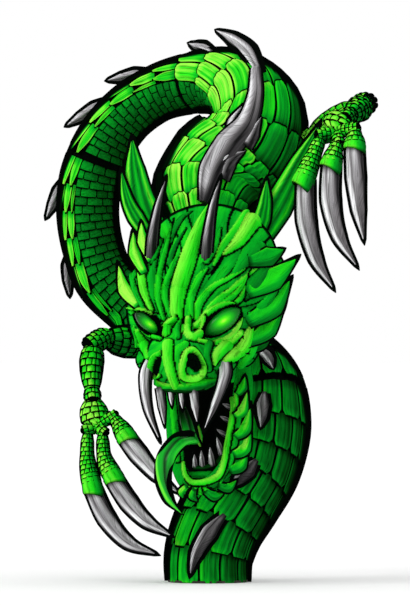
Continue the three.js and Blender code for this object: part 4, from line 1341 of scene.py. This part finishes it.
TONGUE = [
    [-70, -222, 452], [-52, -265, 402], [-42, -310, 362], [-50, -354, 362], [-76, -392, 354],
    [-104, -416, 316], [-110, -426, 264], [-96, -428, 216], [-64, -420, 180],
]
TONGUE_SIZES = [[15, 9], [19, 10], [20, 10], [21, 10], [22, 10], [22, 10], [20, 9], [14, 8], [0, 0]]
# The two folds of flesh that run down to the tongue's root.
TONGUE_ROOTS = [
    ([[-64, -236, 440], [-48, -246, 394], [-18, -256, 342]], [8, 12, 3]),
    ([[-24, -236, 396], [-20, -246, 366], [-15, -256, 342]], [3, 8, 2]),
]


# Painted light and shade: a painted highlight along the tongue's sides, painted shade down its middle above
# and below and at its root, where it goes into the mouth, and lighter on the side turned to the light.
def tongue_paint(t, angle, normal):
    side = np.abs(np.sin(angle))
    level = 0.6 + 0.28 * step(0.75, 0.97, side) - 0.4 * np.exp(-((np.sin(angle) / 0.2) ** 2))
    return greens(level * step(0.0, 0.25, t) * (0.75 + 0.25 * step(0.2, 0.8, sunny(normal))))


def tongue():
    flesh, black = Shape(), Shape()
    up = (0.3, -0.2, 1)
    sweep(flesh, TONGUE, TONGUE_SIZES, tongue_paint, up=up, steps=80, sides=40, groove=0.45)
    backing(black, TONGUE, [w for w, _ in TONGUE_SIZES], margin=1.5, past=4, steps=60, thick=1.5)
    for path, widths in TONGUE_ROOTS:
        sweep(flesh, path, [[w, w * 0.5] for w in widths], leaf_paint(0.5, 0.95), steps=30, sides=28)
        backing(black, path, widths, margin=3, past=4)
    flesh.build("tongue_flesh", TONGUE_CLOTH, "tongue_cloth", "tongue", ["tongue"])
    black.build("tongue_edge", BLACK_CLOTH, "tongue_cloth", "tongue")


tongue()


LINING_THICKNESS = 2.0
LINING_GRID = 24  # points each way
# The sheet slopes from the palate down to the floor of the jaw: heights, its left and right edge, its Y.
LINING_HEIGHTS = [262, 284, 332, 380, 440, 500]
LINING_LEFT = [-34, -58, -63, -50, -56, -74]
LINING_RIGHT = [34, 42, 50, 62, 76, 88]
LINING_DEPTH = [-278, -261, -230, -215, -203, -190]


def mouth_shade_lining():
    """A sheet behind the teeth, from the palate to the floor of the jaw: black on its inner side, painted as
    the shade inside the mouth, and green behind.
    """
    shape = Shape()
    heights = np.linspace(LINING_HEIGHTS[-1], LINING_HEIGHTS[0], LINING_GRID)
    z, x = np.meshgrid(heights, np.linspace(-1, 1, LINING_GRID), indexing="ij")
    edges = (LINING_LEFT, LINING_RIGHT, LINING_DEPTH)
    left, right, deep = (np.interp(z, LINING_HEIGHTS, edge) for edge in edges)
    front = np.stack([left + (right - left) * (x + 1) / 2, deep - 12 * np.cos(x * 1.4), z], -1)
    back = front + [0, LINING_THICKNESS, 0]
    sheet = np.concatenate([front, back[::-1]])
    faces = closed(len(sheet), LINING_GRID, wrap=False)
    for side in (0, LINING_GRID - 1):
        for row in range(LINING_GRID - 1):
            other = len(sheet) - 1 - row
            faces.append([k * LINING_GRID + side for k in (row, row + 1, other - 1, other)])
    folds = 0.34 + 0.1 * np.cos(x * 14) + 0.06 * np.sin(z / 9)
    # The front is painted black as the shade inside the mouth.
    colours = np.concatenate([np.broadcast_to(INK, front.shape), greens(folds)[::-1]])
    shape.add(sheet, faces, colours)
    lining = shape.build("mouth_shade_lining", BLACK_CLOTH, "head_cloth")
    blended(lining, "head", "jaw", [0, -210, 480], [0, -210, 340])


mouth_shade_lining()

# ---- Ears and frills ----------------------------------------------------------------------------

EARS = {
    "right_ear": {
        "main": ([[110, -225, 830], [172, -195, 935], [230, -152, 1050], [282, -110, 1152]], 38),
        "prongs": [([[118, -222, 850], [140, -210, 935], [146, -190, 1010]], 22)],
    },
    "left_ear": {
        "main": ([[-105, -235, 830], [-160, -222, 930], [-182, -190, 1030], [-190, -160, 1115]], 40),
        "prongs": [([[-140, -240, 850], [-195, -225, 940], [-217, -200, 1030]], 20)],
    },
}


# Painted light and shade: a painted highlight along the ear's edges on the side turned to the light, painted
# shade on its back, and black at its root as painted shade where it meets the head.
def ear_paint(t, angle, normal):
    facing = np.cos(angle)
    fold = 0.16 * np.cos(np.sin(angle) * 9)
    rim = step(0.35, 0.95, np.abs(np.sin(angle)))
    level = 0.5 + 0.4 * rim * step(0.3, 0.8, sunny(normal)) + fold
    return greens(level * (0.55 + 0.45 * step(-0.2, 0.3, facing)) * step(-0.05, 0.2, t))


def ear(name, main, prongs):
    leaf, black = Shape(), Shape()
    for points, width in (main, *prongs):
        widths = [width * 0.62, width * 0.9, width * 0.55, 0]
        sizes = [[w, 9] for w in widths[:3]] + [[0, 0]]
        sweep(leaf, points, sizes, ear_paint, steps=40, sides=44, flutes=9, depth=0.06, groove=0.5)
        backing(black, points, widths, margin=5, past=8, steps=30)
    leaf.build(f"{name}_leaf", HEAD_CLOTH, "head_cloth", name, [name])
    black.build(f"{name}_edge", BLACK_CLOTH, "head_cloth", name)


for name, parts in EARS.items():
    ear(name, **parts)

# ---- Arms ---------------------------------------------------------------------------------------

ARMS = {
    "left": {
        "upper_arm": ([[-132, 112, 598], [-196, 44, 600], [-266, -4, 608]], [20, 36, 41, 42, 36, 16], 1.0),
        "forearm": ([[-287, -20, 596], [-292, -44, 540], [-290, -66, 470]], [14, 28, 31, 29, 24, 14], 1.0),
        "palm": ([[-289, -74, 462], [-286, -90, 428], [-278, -108, 388]], [14, 25, 33, 36, 36, 22], 0.62),
        "digits": [
            ([[-300, -112, 382], [-301, -124, 305], [-286, -138, 228]],
             [[-288, -137, 236], [-252, -154, 160], [-198, -176, 100], [-125, -192, 72]]),
            ([[-264, -118, 378], [-258, -134, 310], [-232, -154, 256]],
             [[-240, -150, 268], [-196, -170, 200], [-150, -192, 152], [-88, -214, 118]]),
            ([[-240, -114, 414], [-222, -128, 392], [-200, -146, 358]],
             [[-208, -140, 368], [-172, -164, 320], [-128, -194, 270], [-70, -226, 224]]),
        ],
        "radii": (19, 25),
        "root": "chest",
    },
    "right": {
        "upper_arm": ([[262, -16, 1112], [318, 4, 1150], [386, -2, 1196]], [22, 33, 37, 37, 32, 12], 1.0),
        "forearm": ([[396, -22, 1198], [376, -84, 1182], [350, -148, 1163]], [12, 30, 34, 32, 27, 14], 1.0),
        "palm": ([[345, -160, 1159], [332, -180, 1146], [320, -202, 1122]], [14, 28, 38, 44, 42, 24], 0.55),
        "digits": [
            ([[282, -214, 1116], [260, -228, 1058], [234, -240, 992]],
             [[242, -236, 1004], [244, -256, 900], [268, -272, 805], [312, -282, 730]]),
            ([[324, -226, 1100], [314, -240, 1072], [304, -250, 1036]],
             [[306, -247, 1046], [304, -266, 950], [325, -282, 860], [370, -292, 785]]),
            ([[362, -222, 1130], [364, -232, 1110], [364, -240, 1084]],
             [[363, -237, 1096], [366, -256, 1008], [373, -270, 925], [386, -278, 848]]),
        ],
        "radii": (20, 27),
        "root": "neck",
    },
}
DIGIT_SWELLING = [0.5, 0.85, 0.9, 1.15, 1.3, 1.25]
LIMB_EDGE = {"left": 0.42, "right": 0.1}  # the right arm points at the viewer, so its rim stays lit


def limb_dye_and_shade(low, high, edge):
    def paint(t, normal, s, w, tone):
        # From low in painted shade to high in painted light, by how far the surface turns to the light, and
        # a little darker towards each plate's root as painted shade under the plate above.
        level = low + (high - low) * step(0.3, 0.9, sunny(normal)) + 0.08 * tone + 0.12 * (s - 0.5)
        return greens(level * (1 - edging(normal, edge)))

    return paint


def full_circle(t):
    """All the way round a limb. The seam is turned off the limb's back."""
    return 0.4, 0.4 + 2 * math.pi


CAP_HEIGHT = 6
CAP_RINGS = (1, 0.92, 0.72, 0.4, 0.08)  # their sizes, from the tube's end to the middle
LIMB_LIFT = -5.5  # the cloth under a limb's plates, below its full size


def rounded_ends(shape, section):
    """A rounded end on both ends of a limb's cloth."""
    angle = circle(24)
    for t, outward in ((0.0, -1), (1.0, 1)):
        centre, tangent, side, back, width, depth = section(np.array([t]))
        width, depth = width + LIMB_LIFT - 0.1, depth + LIMB_LIFT - 0.1
        rings = []
        for share in CAP_RINGS:
            out = centre + tangent * outward * CAP_HEIGHT * math.sqrt(1 - share**2)
            ring = out + back * np.cos(angle)[:, None] * depth * share
            rings.append(ring - side * np.sin(angle)[:, None] * width * share)
        faces = lattice(len(rings), 24, wrap=True) + caps(len(rings), 24)[1:]
        shape.add(np.concatenate(rings), faces, INK)


def body_of(name):
    """The body of a limb's piece: each has its own name, but a palm's is the hand."""
    return name.replace("palm", "hand")


def limb(name, points, radii, thick, dye_and_shade, pitch, wide):
    """A scaled limb: a cloth core and rows of small plates, with black edges in the view."""
    section = limb_section(points, radii, thick)
    track = Track(section, 0, 1, 200)
    core = Shape()
    ts = np.linspace(0, 1, 28)
    skin(core, section, ts, lift=LIMB_LIFT, wall=1.4, sides=28)
    rounded_ends(core, section)
    piping(core, section, ts, inner=7, outer=1.5, thick=1.5)
    core.build(f"{name}_core", BLACK_CLOTH, "limb_cloth", body_of(name), [name])
    plates = Shape()
    plate_rows(plates, section, track, 1, track.length - 1, pitch, wide, full_circle, SCUTE, dye_and_shade)
    plates.build(f"{name}_scutes", LIMB_CLOTH, "limb_cloth", body_of(name))


HOOD_REACH = 130  # per unit of a digit past its end
HOOD_SLANT = -90  # the hood's mouth is cut aslant
HOOD_SPAN = (0.72, 1.1)  # along its digit
HOOD_THICKNESS = 0.0018  # metres
CLAW_TAPER = (0.8, 0.86, 0.6, 0)
CLAW_FLATNESS = 0.85


def hood(shape, run, radius, dye_and_shade):
    """The collar of a digit, which overhangs its claw."""
    section = limb_section(run, [radius * k for k in DIGIT_SWELLING])
    t, a = np.meshgrid(np.linspace(*HOOD_SPAN, 14), circle(40), indexing="ij")
    on_digit = np.minimum(t, 1.0)
    flare = 1.5 + 4.5 * step(0.75, 1.0, t) - 1.5 * step(1.0, 1.1, t)
    outer, normal = on_surface(section, on_digit, a, flare - 3 + 0.7 * np.cos(a * 9))
    beyond = (t - on_digit) * (HOOD_REACH - HOOD_SLANT * np.sin(a))
    outer = outer + section(on_digit)[1] * beyond[..., None]
    rim = step(1.06, 1.08, t)
    tone = np.zeros_like(t)
    ridged = 0.5 * step(1.0, 1.06, t) - 0.3 + 0.25 * np.cos(a * 9)
    colours = dye_and_shade(t, normal, 0.5 + tone, tone, ridged) * (1 - rim[..., None]) + INK * rim[..., None]
    grains = np.stack([a * radius, t * 60, tone], -1)
    shape.add(outer, lattice(14, 40, wrap=True), colours, grains)


def digit(side, number, run, claw, digit_radius, claw_radius, dye_and_shade):
    body = f"{side}_finger_{number}"
    limb(body, run, [digit_radius * k for k in DIGIT_SWELLING], 1.0, dye_and_shade, 11, 17)
    collar = Shape()
    hood(collar, run, digit_radius, dye_and_shade)
    obj = collar.build(f"{body}_hood", LIMB_CLOTH, "limb_cloth", body)
    thicken = obj.modifiers.new("thickness", "SOLIDIFY")
    thicken.thickness = HOOD_THICKNESS
    grey, black = Shape(), Shape()
    widths = [claw_radius * k for k in CLAW_TAPER]
    sizes = [[w, w * CLAW_FLATNESS] for w in widths]
    sweep(grey, claw, sizes, horn_paint(0.6), up=(0, -1, 0.2), steps=44, sides=42, flutes=7, depth=0.09)
    backing(black, claw, widths, margin=5, past=9, steps=36)
    grey.build(f"{side}_claw_{number}_sheath", HORN_CLOTH, "horn_cloth", body, [f"{side}_claw_{number}"])
    black.build(f"{side}_claw_{number}_edge", BLACK_CLOTH, "limb_cloth", body)


SLEEVE_SWELLING = (0.86, 1.0, 1.04, 1.0, 0.86)
SLEEVE_PLATE = 20  # width of its plates


def joint_sleeve(name, parent, child, start, end, radius, dye_and_shade, reach=14, pitch=13):
    """A scaled cloth sleeve over a sewn joint. It reaches past start and end."""
    start, end = np.array(start, float), np.array(end, float)
    along = unit(end - start)
    first, last = start - along * reach, end + along * reach
    up = (0, -1, 0) if abs(along[1]) < 0.9 else (0, 0, 1)
    path = [first + (last - first) * k for k in np.linspace(0, 1, 5)]
    section = limb_section(path, [radius * k for k in SLEEVE_SWELLING], 1.0, up)
    track = Track(section, 0, 1, 100)
    shape = Shape()
    skin(shape, section, np.linspace(0, 1, 14), lift=LIMB_LIFT, wall=1.2, sides=28)
    rounded_ends(shape, section)
    plate_rows(shape, section, track, 1, track.length - 1, pitch, SLEEVE_PLATE, full_circle, SCUTE, dye_and_shade)
    obj = shape.build(name, LIMB_CLOTH, "limb_cloth")
    blended(obj, parent, child, first, last)


SHOULDER_DEPTH = 22  # how far a shoulder's sleeve starts inside the body
SHOULDER_RADIUS = 27


def arm(side, upper_arm, forearm, palm, digits, radii, root):
    # The limbs' paint: their dye with painted light and shade.
    dye_and_shade = limb_dye_and_shade(0.36, 0.86, LIMB_EDGE[side])
    limb(f"{side}_upper_arm", *upper_arm, dye_and_shade, 19, 24)
    limb(f"{side}_forearm", *forearm, dye_and_shade, 16, 22)
    limb(f"{side}_palm", *palm, limb_dye_and_shade(0.42, 0.95, LIMB_EDGE[side]), 15, 20)
    upper, fore, hand = f"{side}_upper_arm", f"{side}_forearm", f"{side}_hand"
    girth = radii[0]
    for number, (run, claw) in enumerate(digits, 1):
        digit(side, number, run, claw, *radii, dye_and_shade)
        knuckle, finger = f"{side}_knuckle_{number}", f"{side}_finger_{number}"
        joint_sleeve(knuckle, hand, finger, palm[0][-1], run[0], girth * 0.85, dye_and_shade, pitch=11)
    shoulder = np.array(upper_arm[0][0])
    inside = shoulder + unit(shoulder - np.array(upper_arm[0][1])) * SHOULDER_DEPTH
    elbow, wrist = (upper_arm[0][-1], forearm[0][0]), (forearm[0][-1], palm[0][0])
    joint_sleeve(f"{side}_shoulder_sleeve", root, upper, inside, shoulder, SHOULDER_RADIUS, dye_and_shade)
    joint_sleeve(f"{side}_elbow_sleeve", upper, fore, *elbow, girth * 1.5, dye_and_shade, reach=20)
    joint_sleeve(f"{side}_wrist_sleeve", fore, hand, *wrist, girth * 1.2, dye_and_shade, reach=18)


for side, parts in ARMS.items():
    arm(side, **parts)

# ---- Sleeves at the nape and the ears -----------------------------------------------------------

# Stations back from the neck's end, lift off the body's full size, and millimetres past the end.
NAPE_RINGS = [(0.3, -13, 0), (0.15, -12, 0), (0.0, -6, 0), (0.0, 4, 6), (0.0, 13, 10)]
NAPE_WALL = 1.6
EAR_SLEEVE = (12, -8, 22)  # where it starts and ends, inwards from the ear's root, and its radius


def nape_sleeve():
    """Cloth from the neck's end to the opening of the head."""
    shape = Shape()
    centre, tangent = body_section(LAST_STATION)[:2]
    rings = []
    for back, lift, past in NAPE_RINGS:
        ring, _ = on_surface(body_section, np.full(64, LAST_STATION - back), circle(64), lift)
        rings.append(ring + tangent * past)
    rings = np.array(rings)
    inner = rings - unit(rings - rings.mean(1, keepdims=True)) * NAPE_WALL
    both = np.concatenate([rings, inner[::-1]])
    shape.add(both, closed(len(both), 64), greens(np.array([0.2]))[0])
    obj = shape.build("nape_sleeve", LIMB_CLOTH, "head_cloth")
    start = body_section(LAST_STATION - NAPE_RINGS[1][0])[0]
    blended(obj, "neck", "head", start, centre + tangent * NAPE_RINGS[-1][2])


nape_sleeve()
for name, parts in EARS.items():
    root, beyond = np.array(parts["main"][0][:2], float)
    start, end = (root + unit(root - beyond) * inward for inward in EAR_SLEEVE[:2])
    # The sleeve's paint: its dye with painted light and shade.
    dye_and_shade = limb_dye_and_shade(0.3, 0.8, 0.3)
    joint_sleeve(f"{name}_sleeve", "head", name, start, end, EAR_SLEEVE[2], dye_and_shade, reach=10)

# ---- Frame pieces that stay as they are ---------------------------------------------------------

SPAR_BLACK = solid_colour("carbon_spar", (34, 36, 38), 0.38, 0.4, mottle=0.35, scale=40, grain=(1, 1, 8))
PIN_STEEL = solid_colour(
    "brushed_steel", (176, 179, 184), 0.28, 0.5, mottle=0.12, scale=300, metallic=1.0, grain=(0.1, 1, 1)
)
FOOT_BOARD = solid_colour(
    "stained_plywood", (44, 38, 32), 0.7, 0.3, mottle=0.4, scale=40, grain=(0.2, 4, 1)
)


def refinish(node, material):
    """A material of this script on a node that is shown as it is."""
    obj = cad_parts[node]
    obj.data.materials.clear()
    obj.data.materials.append(material)


for segment in SEGMENTS:
    refinish(f"{segment}_frame", SPAR_BLACK)
    refinish(f"{segment}_hinge_pin", PIN_STEEL)
for node in ("jaw_pin", "tow_ring"):
    refinish(node, PIN_STEEL)
refinish("foot_plate", FOOT_BOARD)

# ---- Stage: floor, light, camera ----------------------------------------------------------------

VIEW_CENTRE = (-0.0075, 0.6975)  # X and Z in metres
VIEW_HEIGHT = 1.515
LENS = 400  # mm; long, so that the view is nearly flat
SENSOR = 36
FLOOR_RADIUS = 60  # metres
FLOOR_GREY = 0.93
FARTHEST = 100  # metres that the camera sees


def pale_floor():
    mesh = bpy.data.meshes.new("floor")
    angle = circle(64)
    points = np.stack([np.cos(angle), np.sin(angle), np.zeros(64)], -1) * FLOOR_RADIUS
    mesh.from_pydata(points.tolist(), [], [list(range(64))])
    material, _, shader = new_material("pale_floor", 0.95, 0.0)
    shader.inputs["Base Color"].default_value = (FLOOR_GREY, FLOOR_GREY, FLOOR_GREY, 1)
    mesh.materials.append(material)
    floor = bpy.data.objects.new("floor", mesh)
    bpy.context.scene.collection.objects.link(floor)


def studio_light():
    world = bpy.data.worlds.new("studio")
    world.use_nodes = True
    background = world.node_tree.nodes["Background"]
    background.inputs["Color"].default_value = (1, 1, 1, 1)
    background.inputs["Strength"].default_value = 1.0
    bpy.context.scene.world = world
    lamp = bpy.data.lights.new("soft_sun", "SUN")
    lamp.energy = 0.9
    lamp.angle = math.radians(25)
    sun = bpy.data.objects.new("soft_sun", lamp)
    sun.rotation_euler = Vector(SUNNY_SIDE).to_track_quat("Z", "Y").to_euler()
    bpy.context.scene.collection.objects.link(sun)
    bpy.context.scene.view_settings.view_transform = "Standard"


def front_camera():
    data = bpy.data.cameras.new("camera")
    data.lens = LENS
    data.sensor_width = SENSOR
    data.clip_end = FARTHEST
    camera = bpy.data.objects.new("camera", data)
    camera.location = (VIEW_CENTRE[0], -VIEW_HEIGHT * LENS / SENSOR, VIEW_CENTRE[1])
    camera.rotation_euler = (math.radians(90), 0, 0)
    bpy.context.scene.collection.objects.link(camera)
    bpy.context.scene.camera = camera


pale_floor()
studio_light()
front_camera()
